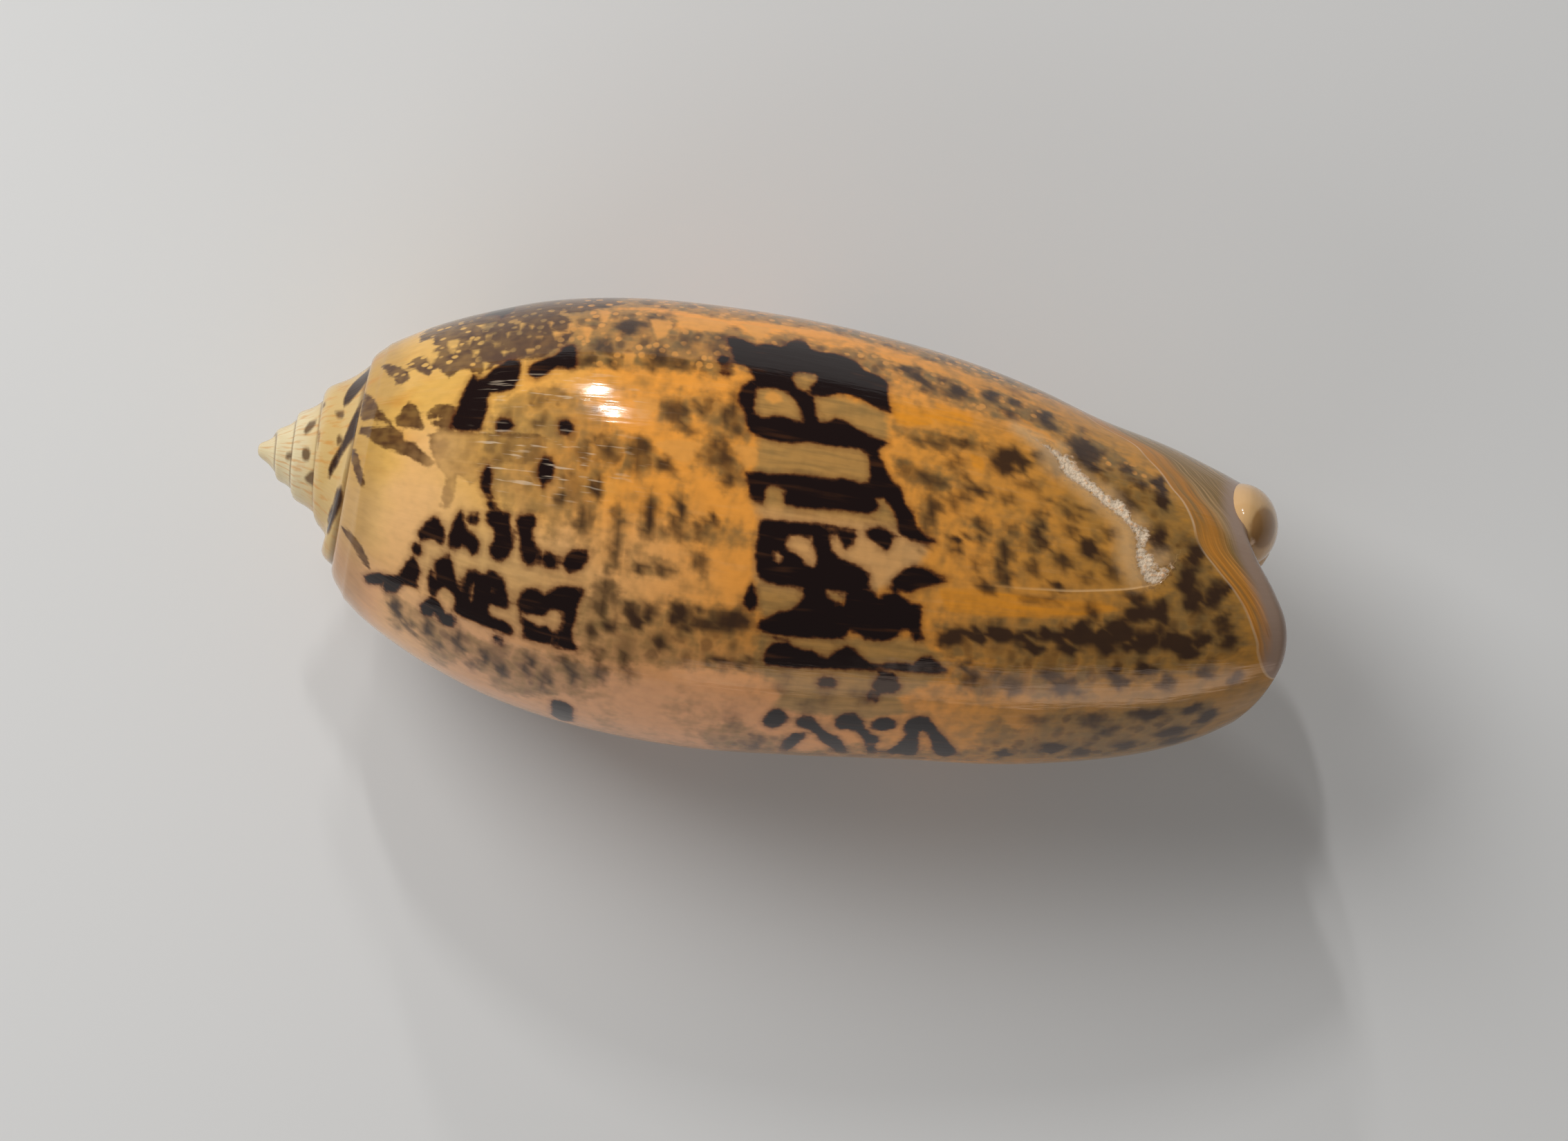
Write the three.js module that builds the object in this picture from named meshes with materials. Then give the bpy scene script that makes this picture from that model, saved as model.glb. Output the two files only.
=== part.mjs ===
// Olive shell, grown as one piece: a low pointed spire, a long glossy body whorl, a slit
// aperture under the outer lip, and a notched front end with the tip of the columella.
//
// The shell is a strip wound round the coil axis. A place on it is given by its wind, in
// degrees of turn, and by how far it lies from the suture towards the front end. Winds run
// up to LIP_WIND at the outer lip. Wind 0 looks along +Y, wind 90 along +Z, and the shell
// grows towards higher winds. Until the last step the apex is the origin and X the coil axis.

import * as THREE from "three";
import { mergeVertices } from "three/addons/utils/BufferGeometryUtils.js";

// Overall sizes, in millimetres and degrees
const LIP_WIND = 232.5;
const FULL_TURN = 360;
const SPIRE_TURNS = 4;
const SLIT_DEPTH = 180;
const FLOOR_DEPTH = 11.55;

// Wall thickness inside, at the lip and at the front margin
const WALL = 1.5;
const LIP_WALL = 1.15;
const MARGIN_WALL = 0.9;
const LIP_NOSE = 0.45;

// Rim of each whorl, where it meets the one before: turns before the lip, distance from the
// apex, radius
const RIM = [
  [-4, 0, 0],
  [-3.64, 0.95, 0.95],
  [-3.14, 1.35, 1.5],
  [-2.64, 2.13, 2.12],
  [-2.14, 2.48, 2.35],
  [-1.64, 3.6, 3.5],
  [-1.14, 4.3, 3.8],
  [-0.64, 6.26, 6.13],
  [-0.39, 6.2, 6.4],
  [-0.14, 5.52, 6.56],
  [0, 5.2, 6.1],
];

// Radius of the body whorl from its shoulder (0) to its front margin (1): on the columella
// side at wind 0, and half a turn on at wind 180
const BODY = [
  [0, 7.55, 8.53],
  [0.02, 8.2, 9.42],
  [0.05, 9.08, 10.45],
  [0.1, 10.23, 11.82],
  [0.18, 11.65, 13.37],
  [0.28, 12.53, 14.39],
  [0.4, 12.75, 14.74],
  [0.52, 12.48, 14.3],
  [0.64, 11.65, 13.62],
  [0.74, 10.4, 13.15],
  [0.82, 9, 12.4],
  [0.9, 7.95, 11.27],
  [0.96, 6.9, 9.9],
  [1, 6.1, 8.5],
];

// Front margin of the body whorl: wind, distance from the apex
const MARGIN = [
  [-127.5, 60.5],
  [-60, 60.8],
  [0, 61.4],
  [40, 61],
  [55, 61.1],
  [75, 62.1],
  [90, 63.3],
  [105, 64.3],
  [120, 64.6],
  [135, 64.3],
  [165, 62.9],
  [180, 62.3],
  [205, 60.9],
  [222, 59.2],
  [232.5, 57.4],
];

// Shoulder of the body whorl behind its rim, and how fast a lift at the shoulder dies away
const SHOULDER_LENGTH = 1;
const SHOULDER_FADE = 2.5;
const SHOULDER_BLEND = 120;
const SPIRE_BULGE = 0.12;
const BODY_BULGE = 0.2;

// Callus cord laid on the spire beside the last suture, and the groove along it
const CORD_START = 45;
const CORD_GROWTH = 150;
const CORD_WIDTH = 0.6;
const CORD_HEIGHT = 0.42;
const CORD_GROOVE = 0.16;
const GROOVE_WIDTH = 0.25;

// Growth past the lower side of the body slows, and the body dips into the slit
const LIP_GROWTH = 0.28;
const HOLLOW_START = -92;
const HOLLOW_REACH = 60;
const HOLLOW_DEPTH = 0.13;

// Towards the front the columella narrows and leans away from the lip
const COLUMELLA_START = 0.5;
const COLUMELLA_THIN = 0.32;
const COLUMELLA_LEAN = 2.4;
const COLUMELLA_TURN = -15;
const COLUMELLA_BLEND = 105;

// Slit: slope of its roof away from the crease, and its least width
const SLIT_SLOPE = 0.45;
const SLIT_LEAST = 0.9;

// Rounded tip of the columella
const TIP_REACH = 63.4;
const TIP_ACROSS = 3.4;
const TIP_UP = 0.5;
const TIP_RINGS = 4;

// Grid of the faceted solid
const WIND_STEP = 7.5;
const SPIRE_ROWS = 6;
const BODY_ROWS = 25;
const NOSE_COLUMNS = 3;

const START_WIND = LIP_WIND - (SPIRE_TURNS + 1) * FULL_TURN;
const MOUTH_WIND = LIP_WIND - FULL_TURN;
const ALL_ROWS = SPIRE_ROWS + BODY_ROWS;
const CREASE_ROW = SPIRE_ROWS + 1;

const mix = THREE.MathUtils.lerp;
const smooth = THREE.MathUtils.smoothstep;

/** Value of column `which` of `knots` at `t`, on a smooth curve through the knots. */
function along(knots, t, which = 1) {
  const last = knots.length - 1;
  let i = 0;
  while (i < last - 1 && t > knots[i + 1][0]) i += 1;
  const slope = (a, b) => (knots[b][which] - knots[a][which]) / (knots[b][0] - knots[a][0]);
  const start = slope(Math.max(i - 1, 0), i + 1);
  const end = slope(i, Math.min(i + 2, last));
  const width = knots[i + 1][0] - knots[i][0];
  const s = THREE.MathUtils.clamp((t - knots[i][0]) / width, 0, 1);
  const s2 = s * s;
  const s3 = s2 * s;
  return (
    (2 * s3 - 3 * s2 + 1) * knots[i][which] +
    (s3 - 2 * s2 + s) * width * start +
    (3 * s2 - 2 * s3) * knots[i + 1][which] +
    (s3 - s2) * width * end
  );
}

/** Rim of the whorl at a wind. */
function rim(wind) {
  const turns = (wind - LIP_WIND) / FULL_TURN;
  return { x: along(RIM, turns, 1), r: Math.max(along(RIM, turns, 2), 0) };
}

/** How far a place belongs to the thin front of the columella, from 0 to 1. */
function columella(wind, fraction) {
  return smooth(fraction, COLUMELLA_START, 1) * smooth(COLUMELLA_TURN - wind, 0, COLUMELLA_BLEND);
}

/** Radius of the body whorl at a wind, a fraction of the way to its front margin. */
function bodyRadius(wind, fraction) {
  const upper = along(BODY, fraction, 1);
  const lower = along(BODY, fraction, 2);
  let growth = wind / 180;
  if (growth > 1) growth = 1 + (growth - 1) * LIP_GROWTH;
  const dip = smooth(HOLLOW_START - wind, 0, HOLLOW_REACH) * smooth(fraction, 0, 0.1);
  const thin = COLUMELLA_THIN * columella(wind, fraction);
  return upper * (lower / upper) ** growth * (1 - HOLLOW_DEPTH * dip - thin);
}

/** Shoulder point at a wind, where the rows of the spire end and those of the body start. */
function shoulder(wind) {
  const suture = rim(wind + FULL_TURN);
  if (wind <= MOUTH_WIND) return suture;
  const free = { x: rim(wind).x + SHOULDER_LENGTH, r: bodyRadius(wind, 0) };
  const share = smooth(wind - MOUTH_WIND, 0, SHOULDER_BLEND);
  const mouth = rim(LIP_WIND);
  return { x: mix(mouth.x, free.x, share), r: mix(mouth.r, free.r, share) };
}

/** Point in space from a wind, a distance along the axis, a radius and a lean to the side. */
function place(wind, x, r, lean = 0) {
  const turn = THREE.MathUtils.degToRad(wind);
  return new THREE.Vector3(x, r * Math.cos(turn) + lean, Math.max(r * Math.sin(turn), -FLOOR_DEPTH));
}

/** Point between the rim and the shoulder, at a fraction of the way. */
function spirePoint(wind, fraction) {
  const upper = rim(wind);
  const lower = shoulder(wind);
  const rise = lower.x - upper.x;
  const spread = lower.r - upper.r;
  const slant = Math.hypot(rise, spread) || 1;
  const onBody = smooth(wind - MOUTH_WIND, 0, SHOULDER_BLEND);
  const cord = smooth(wind + FULL_TURN, CORD_START, CORD_START + CORD_GROWTH) * (1 - onBody);
  const cordEdge = 1 - CORD_WIDTH * cord;
  const share = Math.min(fraction / cordEdge, 1);
  const early = 12.2 * share * (1 - share) ** 4;
  const late = 6.75 * fraction * (1 - fraction) ** 2;
  let lift = mix(SPIRE_BULGE * slant * cordEdge * early, BODY_BULGE * late, onBody);
  if (cord > 0) {
    const across = Math.max(fraction - cordEdge, 0) / (1 - cordEdge);
    const beside = Math.max(1 - Math.abs(fraction - cordEdge) / GROOVE_WIDTH, 0);
    const groove = CORD_GROOVE * beside * smooth(1 - fraction, 0, GROOVE_WIDTH);
    lift += cord * (CORD_HEIGHT * Math.sin(Math.PI * across) - groove);
  }
  const x = mix(upper.x, lower.x, fraction) - (lift * spread) / slant;
  const r = mix(upper.r, lower.r, fraction) + (lift * rise) / slant;
  return place(wind, x, r);
}

/** Fraction of the way from shoulder to front margin at a row, closer at both ends. */
function rowFraction(row) {
  const s = (row - SPIRE_ROWS) / BODY_ROWS;
  return mix(s, (1 - Math.cos(Math.PI * s)) / 2, 0.6);
}

/** Distance along the axis, radius and lean of the body whorl at a wind and a row. */
function bodyRing(wind, row) {
  const fraction = rowFraction(row);
  const start = shoulder(wind);
  const x = mix(start.x, along(MARGIN, wind), fraction);
  const lift = (start.r - bodyRadius(wind, 0)) * Math.exp((start.x - x) / SHOULDER_FADE);
  return { x, r: bodyRadius(wind, fraction) + lift, lean: COLUMELLA_LEAN * columella(wind, fraction) };
}

/** Outer surface at a wind and a row. */
function outerPoint(wind, row) {
  if (row <= SPIRE_ROWS) return spirePoint(wind, row / SPIRE_ROWS);
  const ring = bodyRing(wind, row);
  return place(wind, ring.x, ring.r, ring.lean);
}

/** Wall of the whorl before, inside the slit, under a wind of the body whorl. */
function parietalPoint(wind, row) {
  const ring = bodyRing(wind - FULL_TURN, row);
  return place(wind, ring.x, ring.r, ring.lean);
}

/** Inside face of the body whorl over the slit. */
function innerPoint(wind, row) {
  if (row <= CREASE_ROW) return parietalPoint(wind, CREASE_ROW);
  const outer = bodyRing(wind, row);
  const floor = bodyRing(wind - FULL_TURN, row);
  const fraction = rowFraction(row);
  const nearLip = smooth(wind, LIP_WIND - 40, LIP_WIND);
  const wall = mix(mix(WALL, LIP_WALL, nearLip), MARGIN_WALL, smooth(fraction, 0.8, 1));
  const open = SLIT_SLOPE * (outer.x - bodyRing(wind, CREASE_ROW).x);
  const width = Math.min(Math.max(outer.r - wall - floor.r, SLIT_LEAST), open);
  return place(wind, outer.x, floor.r + width);
}

/** Rounded edge of the lip between its outer and inner faces, at a share of the way round. */
function nosePoint(row, share) {
  const outer = outerPoint(LIP_WIND, row);
  const inner = row === 0 ? outer : innerPoint(LIP_WIND, row);
  const point = outer.clone().lerp(inner, (1 - Math.cos(Math.PI * share)) / 2);
  const turn = THREE.MathUtils.degToRad(LIP_WIND);
  const ahead = new THREE.Vector3(0, -Math.sin(turn), Math.cos(turn));
  const thickness = Math.min(outer.distanceTo(inner), LIP_WALL);
  point.addScaledVector(ahead, LIP_NOSE * thickness * Math.sin(Math.PI * share));
  point.z = Math.max(point.z, -FLOOR_DEPTH);
  return point;
}

/** Winds from one to another, both included, in steps of the grid. */
function winds(from, to) {
  const count = Math.round(Math.abs(to - from) / WIND_STEP);
  return Array.from({ length: count + 1 }, (_, i) => mix(from, to, i / count));
}

/** Rows from one to another, both included. */
function rows(from, to) {
  return Array.from({ length: to - from + 1 }, (_, i) => from + i);
}

const corners = [];

/** Adds the triangles between neighbouring columns of points of equal length. */
function addColumns(columns) {
  for (let c = 0; c < columns.length - 1; c += 1) {
    for (let j = 0; j < columns[c].length - 1; j += 1) {
      const [a, b] = [columns[c][j], columns[c + 1][j]];
      const [d, e] = [columns[c][j + 1], columns[c + 1][j + 1]];
      corners.push(a, b, e, a, e, d);
    }
  }
}

/** Adds the spire: every whorl before the body, down to the rim of the next. */
function addSpire() {
  const column = (wind) => rows(0, SPIRE_ROWS).map((row) => outerPoint(wind, row));
  addColumns(winds(START_WIND, MOUTH_WIND).map(column));
}

/** Adds the body whorl, the lip, the slit behind it and the wall of the whorl before. */
function addBody() {
  const all = rows(0, ALL_ROWS);
  const slitRows = rows(CREASE_ROW, ALL_ROWS);
  const outer = winds(MOUTH_WIND, LIP_WIND).map((w) => all.map((row) => outerPoint(w, row)));
  const nose = rows(0, NOSE_COLUMNS).map((n) => all.map((row) => nosePoint(row, n / NOSE_COLUMNS)));
  const back = winds(LIP_WIND, LIP_WIND - SLIT_DEPTH);
  const inner = back.map((w) => slitRows.map((row) => innerPoint(w, row)));
  const parietal = back.map((w) => slitRows.map((row) => parietalPoint(w, row))).reverse();
  addColumns(outer);
  addColumns(nose);
  addColumns([...inner, ...parietal]);
}

/** Adds the front end: the edge of the wall and the rounded tip of the columella. */
function addFrontEnd() {
  const front = winds(LIP_WIND - SLIT_DEPTH, LIP_WIND);
  const outerEdge = front.map((w) => outerPoint(w, ALL_ROWS));
  const innerEdge = front.map((w) => innerPoint(w, ALL_ROWS));
  addColumns(front.map((_, i) => [outerEdge[i], innerEdge[i]]));
  for (let n = 1; n < NOSE_COLUMNS; n += 1) {
    const edge = [nosePoint(ALL_ROWS, n / NOSE_COLUMNS), nosePoint(ALL_ROWS, (n + 1) / NOSE_COLUMNS)];
    corners.push(nosePoint(ALL_ROWS, 0), edge[0], edge[1]);
  }
  const loop = [
    ...winds(MOUTH_WIND, LIP_WIND - SLIT_DEPTH).map((w) => outerPoint(w, ALL_ROWS)),
    innerPoint(LIP_WIND - SLIT_DEPTH, ALL_ROWS),
    ...front.map((w) => parietalPoint(w, ALL_ROWS)),
  ];
  const tip = new THREE.Vector3(TIP_REACH, TIP_ACROSS, TIP_UP);
  const ringPoint = (point, ring) => {
    const angle = (Math.PI / 2) * (ring / TIP_RINGS);
    const inward = point.clone().lerp(tip, 1 - Math.cos(angle));
    inward.x = mix(point.x, tip.x, Math.sin(angle));
    return inward;
  };
  addColumns(loop.map((point) => rows(0, TIP_RINGS).map((ring) => ringPoint(point, ring))));
}

/** Joins equal corners and leaves out triangles that have no area. */
function closedGeometry() {
  const loose = new THREE.BufferGeometry().setFromPoints(corners);
  const merged = mergeVertices(loose, 1e-4);
  const index = merged.getIndex().array;
  const kept = [];
  for (let i = 0; i < index.length; i += 3) {
    const [a, b, c] = [index[i], index[i + 1], index[i + 2]];
    if (a !== b && b !== c && c !== a) kept.push(a, b, c);
  }
  merged.setIndex(kept);
  return merged;
}

addSpire();
addBody();
addFrontEnd();

const geometry = closedGeometry();
geometry.computeBoundingBox();
const { min, max } = geometry.boundingBox;
geometry.translate(-(min.x + max.x) / 2, -(min.y + max.y) / 2, -min.z);
geometry.computeVertexNormals();

const shell = new THREE.Mesh(
  geometry,
  new THREE.MeshStandardMaterial({ color: 0xb98a3c, roughness: 0.22, metalness: 0 }),
);
shell.name = "olive_shell";

const part = new THREE.Group();
part.add(shell);

export default part;
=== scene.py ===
"""Olive shell lying on its belly, seen on its back with the apex to the left.

The shell is a strip wound round its coil axis, as it grew. A place on it has a wind, in degrees
of turn, and a distance along the axis from the apex. Shapes are worked out in millimetres in
the shell's own frame, with the apex at the origin, and then moved to the row frame in metres.
"""

import logging
import math
from collections.abc import Callable
from dataclasses import dataclass, field
from enum import Enum

import bpy
import mathutils
import numpy as np
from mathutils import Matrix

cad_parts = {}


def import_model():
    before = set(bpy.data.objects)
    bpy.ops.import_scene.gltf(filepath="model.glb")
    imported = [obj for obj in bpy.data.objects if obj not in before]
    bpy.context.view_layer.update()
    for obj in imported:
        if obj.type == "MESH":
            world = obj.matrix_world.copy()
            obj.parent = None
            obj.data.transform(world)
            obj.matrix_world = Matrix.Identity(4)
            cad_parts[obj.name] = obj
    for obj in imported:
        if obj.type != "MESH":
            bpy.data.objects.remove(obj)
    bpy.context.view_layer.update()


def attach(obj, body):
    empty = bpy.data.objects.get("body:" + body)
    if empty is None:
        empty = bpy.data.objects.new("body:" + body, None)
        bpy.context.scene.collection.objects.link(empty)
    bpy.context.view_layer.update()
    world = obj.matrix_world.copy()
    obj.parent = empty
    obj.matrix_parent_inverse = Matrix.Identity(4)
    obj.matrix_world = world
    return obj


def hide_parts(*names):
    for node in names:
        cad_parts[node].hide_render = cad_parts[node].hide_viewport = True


LOG = logging.getLogger("olive_shell")
MM = 0.001
FULL_TURN = 360.0
HALF_TURN = 180.0
# Millimetres of arc in a degree of wind, where the radius is 13 mm
DEGREE = 0.2269
# How far rows draw together at the suture and at the front margin, from 0 to 1
ROW_CROWDING = 0.6

Numbers = np.ndarray | float
Span = tuple[float, float]
Vector = tuple[float, float, float]
Colour = tuple[float, float, float, float]
Knots = tuple[tuple[float, ...], ...]
Outline = tuple[float, ...]
Spot = tuple[float, float, float, float, float]


class Layer(Enum):
    """Kinds of marking, each stored on the mesh as a signed distance inside its outlines."""

    DARK = "dark"
    BUFF = "buff"
    WASH = "wash"
    BROWN = "brown"
    TENT = "tent"
    SCAR = "scar"


OUTLINES: dict[Layer, tuple[Outline, ...]] = {
    Layer.DARK: (
        # First band of blotches, from the top mass down
        (12.25, 74.8, 12.3, 72, 12.5, 68, 12.7, 63, 12.9, 58.5, 13.1, 55.5, 13.4, 58, 13.9, 57,
         14.1, 55, 14.4, 53.5, 14.8, 51.5, 15.2, 50, 15.7, 51, 15.8, 54, 15.8, 58, 15.6, 60.5,
         15.3, 62, 14.8, 62, 14.2, 62.5, 14.1, 65, 14.2, 69, 14.1, 72, 14, 75.2, 13, 75.5),
        (16.5, 53.5, 17, 51.3, 17.7, 50, 18.1, 48.5, 18.3, 46, 18.6, 44.8, 19, 46, 19.1, 50,
         19.2, 53.5, 18.7, 54.3, 18.2, 53, 17.8, 54.5, 17.3, 57, 16.8, 57.5, 16.5, 56),
        (14.95, 73, 15.3, 71.3, 15.8, 72, 16, 73.8, 15.7, 75.3, 15.2, 75.2),
        (18.8, 71.3, 19.5, 71.2, 19.6, 73.5, 19.3, 75, 18.9, 74.2),
        (17.95, 84.5, 18.2, 82, 18.6, 82.2, 18.85, 85, 18.7, 88, 18.4, 90, 18.1, 88),
        (14.6, 89, 14.9, 86.3, 15.1, 87.5, 15.15, 91, 15.1, 93, 15.35, 94.6, 15.15, 94.8,
         14.8, 93.5, 14.6, 91.5),
        (15.15, 96.3, 15.45, 96, 15.6, 98, 15.3, 98.4),
        (11.15, 113, 11.3, 110, 11.6, 107.5, 11.9, 105.5, 12.1, 104.5, 12.4, 106.2, 12.7, 108.5,
         12.75, 111.5, 12.5, 112.5, 12.1, 111, 11.8, 112, 11.4, 113.5),
        (10.9, 117, 11.1, 115.4, 11.4, 116, 11.45, 118, 11.2, 119, 11, 118.6),
        (13.2, 107, 13.4, 103, 13.6, 101, 13.8, 104, 14, 106.5, 14.6, 107.5, 14.9, 109, 14.9, 112,
         14.6, 113, 14.3, 111.5, 14, 110.5, 13.7, 112, 13.4, 113.5, 13.15, 112, 13.1, 109.5),
        (14.1, 102.5, 14.4, 100.4, 14.75, 101.2, 14.5, 104, 14.2, 103.8),
        (15.2, 101.5, 15.3, 99.5, 15.9, 99, 16.5, 99, 16.6, 101.5, 16.8, 104.5, 17, 108, 16.7, 111,
         16.3, 112.8, 15.8, 112, 15.7, 110, 15.9, 107, 15.9, 104.5, 15.6, 103.3),
        (17.1, 100.5, 17.3, 98.7, 18.2, 98.3, 18.2, 100, 18, 102, 18.1, 105, 18.4, 106.5,
         18.7, 107.2, 18.5, 108.5, 18.5, 110.5, 18.2, 112.2, 17.8, 111, 17.6, 108, 17.4, 104),
        (18.95, 109.5, 19.1, 107.7, 19.45, 107.4, 19.75, 108.8, 19.7, 110.8, 19.3, 111.6, 19,
         110.9),
        (20.2, 109.5, 20.4, 107, 20.9, 105.3, 21.7, 105.5, 21.5, 108, 21.2, 110.5, 20.6, 111.5),
        # Its second row
        (12.4, 119, 12.9, 117, 13.1, 115.2, 13.4, 118, 13.6, 121, 13.9, 124.5, 14.2, 126.5,
         14.3, 122, 14.5, 119, 14.8, 117.5, 15.1, 119, 15.5, 118.5, 15.9, 116.3, 16.3, 117,
         16.7, 118.5, 16.9, 121, 17.1, 124, 17.1, 126.3, 16.5, 126.5, 16, 126.5, 15.9, 130,
         16.2, 131.3, 17.2, 131.3, 17.6, 133, 17.5, 134.8, 14.3, 134.5, 13.9, 133.5, 14, 130,
         13.7, 127, 13.2, 126.3, 12.9, 127, 12.6, 130, 12.5, 133, 12.2, 129, 12.1, 125.5,
         12.2, 123, 12.5, 121.5),
        (17.8, 124.5, 17.9, 121, 18.3, 119, 18.8, 118.3, 19.2, 120, 19.7, 118, 20.2, 116.2,
         21, 115.5, 21.6, 115.5, 21.5, 118, 21.3, 120.5, 21.3, 124, 21.1, 128, 21.3, 131.5,
         21.7, 134, 20.5, 134.5, 20.4, 131, 20.7, 126, 20.6, 122.5, 19.8, 122.5, 19.4, 125.3,
         18.6, 126, 18, 126),
        (19.2, 130, 19.8, 128.6, 20.1, 131, 20, 134, 18.4, 134.5, 18.3, 131, 18, 128),
        (11, 120.5, 11.3, 122.5, 11.5, 125, 11.3, 128, 11.4, 131, 10.6, 131.5, 10.3, 134.5, 10,
         138,
         9.4, 140, 9.3, 136, 9.1, 137.5, 8.6, 140, 8.2, 141.7, 8.1, 139.5, 8.4, 136.5, 9, 133.5,
         9.7, 132, 10.2, 130.5, 10.5, 126.5, 10.7, 123),
        (12.1, 134.5, 12.5, 132, 12.8, 133, 13.1, 135, 13.4, 137.5, 13.7, 136.5, 13.9, 135, 14,
         138,
         13.8, 140.5, 13.2, 141, 12.9, 138, 12.6, 137.5, 12.5, 140, 11.9, 141, 11.8, 138),
        (16.6, 138, 16.9, 136.8, 17.1, 139, 16.8, 140.4),
        # Top mass of the second band, its legs and the bar under it
        (28.1, 35.8, 28.6, 35.3, 29.2, 36.8, 29.8, 38.6, 30.2, 37.2, 30.7, 36.3, 31.3, 37,
         31.6, 36.5, 31.8, 34, 32.2, 32, 32.5, 30.8, 32.9, 32.5, 33, 34.8, 33.6, 35.8, 34, 35.8,
         34.6, 35, 35.5, 35.6, 36.1, 36.8, 36.5, 39.8, 37, 40.8, 37.7, 41.3, 38.1, 43.5, 38.1, 47,
         38.3, 51, 38.5, 53.8, 38.2, 54, 37.3, 52.5, 36.6, 51, 35.6, 50.6, 34.9, 51.6, 34.3, 53.2,
         33.8, 52.6, 33.7, 54, 33.9, 58, 34.1, 62.3, 34.8, 62, 35.3, 60.2, 35.8, 60.3, 36.5, 62,
         37.4, 63.6, 38.6, 64.3, 38.1, 66.5, 38, 68.5, 38.3, 70, 38.7, 73, 39.1, 75.3, 39.7, 77,
         39.9, 79.5, 40.2, 82, 40.6, 83, 40.8, 85.5, 41.1, 87.7, 41.8, 89.3, 42.2, 90, 41.5, 90.6,
         40.6, 90, 40, 88.5, 39.8, 85, 39.4, 82.5, 39, 80.5, 38.5, 79.5, 38.3, 81, 38.5, 83.5,
         38, 85, 36.9, 85, 35.3, 85.3, 33.5, 86, 33, 85.5, 32.9, 84, 33, 82, 32.2, 80.9,
         31.7, 81.8, 31.6, 84.5, 31.6, 86.5, 31.2, 86.3, 30.8, 84.5, 30.7, 82, 30.4, 79.7,
         31.2, 79, 32, 79.3, 33, 78.2, 34.5, 77.8, 35.7, 78, 36.4, 77, 37.3, 77.7, 37.8, 77,
         37.9, 75, 37.8, 72, 37.6, 69, 37.2, 67.4, 36.3, 67.5, 35.3, 68.2, 33.8, 68, 33, 69,
         32, 69.4, 31.2, 69, 30.3, 68.2, 30.1, 66, 29.9, 62.8, 29.5, 60.5, 29.3, 57.5, 29.5, 54.5,
         29.9, 52.5, 30.2, 52, 29.9, 49, 29.8, 46.9, 29.2, 46.7, 28.6, 46.2, 28.8, 44.5,
         28.5, 42.5, 28.5, 40.5, 28.1, 38),
        (27.7, 46.3, 27.9, 44.4, 28.35, 44.8, 28.4, 47, 28, 48.2),
        (28, 50.6, 28.2, 49.5, 28.45, 50.5, 28.3, 52),
        # Lower part of the second band
        (38.1, 89.2, 38.9, 88.4, 39.7, 89.8, 39.6, 92, 39.4, 93.8, 38.8, 92.5, 38.2, 90.8),
        (36.5, 91, 37.4, 90.8, 37.3, 93.5, 37, 94.8, 36.6, 93),
        (31.7, 91, 32.5, 90.6, 35, 90, 37.5, 90.1, 37.5, 90.5, 35.8, 91.5, 35.9, 94, 36.1, 96.5,
         36.7, 98, 37.5, 99, 38.5, 100.5, 38.6, 103, 38.3, 104.7, 38.9, 105.3, 39.2, 107, 39.6,
         107,
         40, 105, 40.5, 105, 40.9, 106.7, 41.4, 107.7, 42, 108, 42, 113.5, 42.3, 117, 42.1, 118,
         41.8, 116.5, 41.5, 114.3, 41, 114.3, 40.7, 116.5, 40.2, 118.3, 38.9, 118, 38.2, 116,
         37.8, 115.8, 37.6, 118.5, 36.5, 119, 34.5, 119.5, 33, 119.5, 32.4, 118.5, 32.4, 117,
         33.1, 115, 33.6, 113.5, 34.2, 113.2, 34.6, 111.5, 34.9, 109, 35, 106.5, 34.5, 106,
         33, 106.2, 32.1, 105, 31.8, 102, 31.7, 99),
        (39.9, 103, 40.3, 100.5, 40.9, 98, 41.3, 97.2, 41.9, 97.7, 42.6, 99, 43.3, 99.6, 42.7, 101,
         42, 102, 41.3, 103.7, 40.6, 104.3),
        (31.35, 112.5, 31.5, 109, 31.7, 107.3, 31.95, 109, 32.1, 112, 31.8, 114),
        (33, 127.5, 33.1, 124.5, 33.5, 122.5, 34, 121.3, 34.5, 122.3, 35, 123.5, 35.8, 123.6,
         36.2, 124.5, 36.6, 126, 37, 124.8, 37.3, 122.8, 37.9, 121.2, 38.4, 122.3, 38.8, 124,
         39.3, 125.5, 40, 126.3, 40.5, 125.3, 41.2, 125, 42, 125.2, 42.4, 123, 42.8, 122,
         43.2, 123, 43.7, 125, 44.1, 126.5, 43.3, 127, 41, 127, 39, 127.3, 37, 128, 35, 128.5,
         33.2, 128.5),
        (36.5, 132, 36.9, 130.9, 37.5, 131.6, 37.5, 133.8, 36.9, 134.6, 36.5, 133.6),
        (39.8, 132, 40.2, 128.5, 40.9, 128, 41.1, 130.5, 41.4, 132.2, 41.2, 134.3, 40.5, 134.8,
         40, 135.5, 40.2, 137.5, 39.9, 139, 39.6, 137, 39.6, 135.3, 39.9, 134.5),
        (33.5, 150, 33.7, 147, 34, 144.4, 34.5, 144.2, 34.8, 147, 34.7, 150, 34.2, 153, 33.8,
         152.6),
        (35.5, 149, 35.9, 146.2, 36.4, 146.4, 36.8, 150, 37.4, 154, 38, 155.5, 38.4, 159, 38.7,
         165,
         38.7, 169, 38.3, 168, 37.9, 163, 37.4, 160, 36.9, 155, 36.4, 152, 35.8, 151.6),
        (35, 170, 34.8, 166, 35, 160, 35.4, 155.5, 36, 154.5, 36.1, 156.5, 35.7, 161, 35.3, 167),
        (37.9, 149, 38, 146, 38.4, 144, 39, 144, 39.3, 146, 39.6, 150, 40, 153, 40.5, 155,
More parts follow.
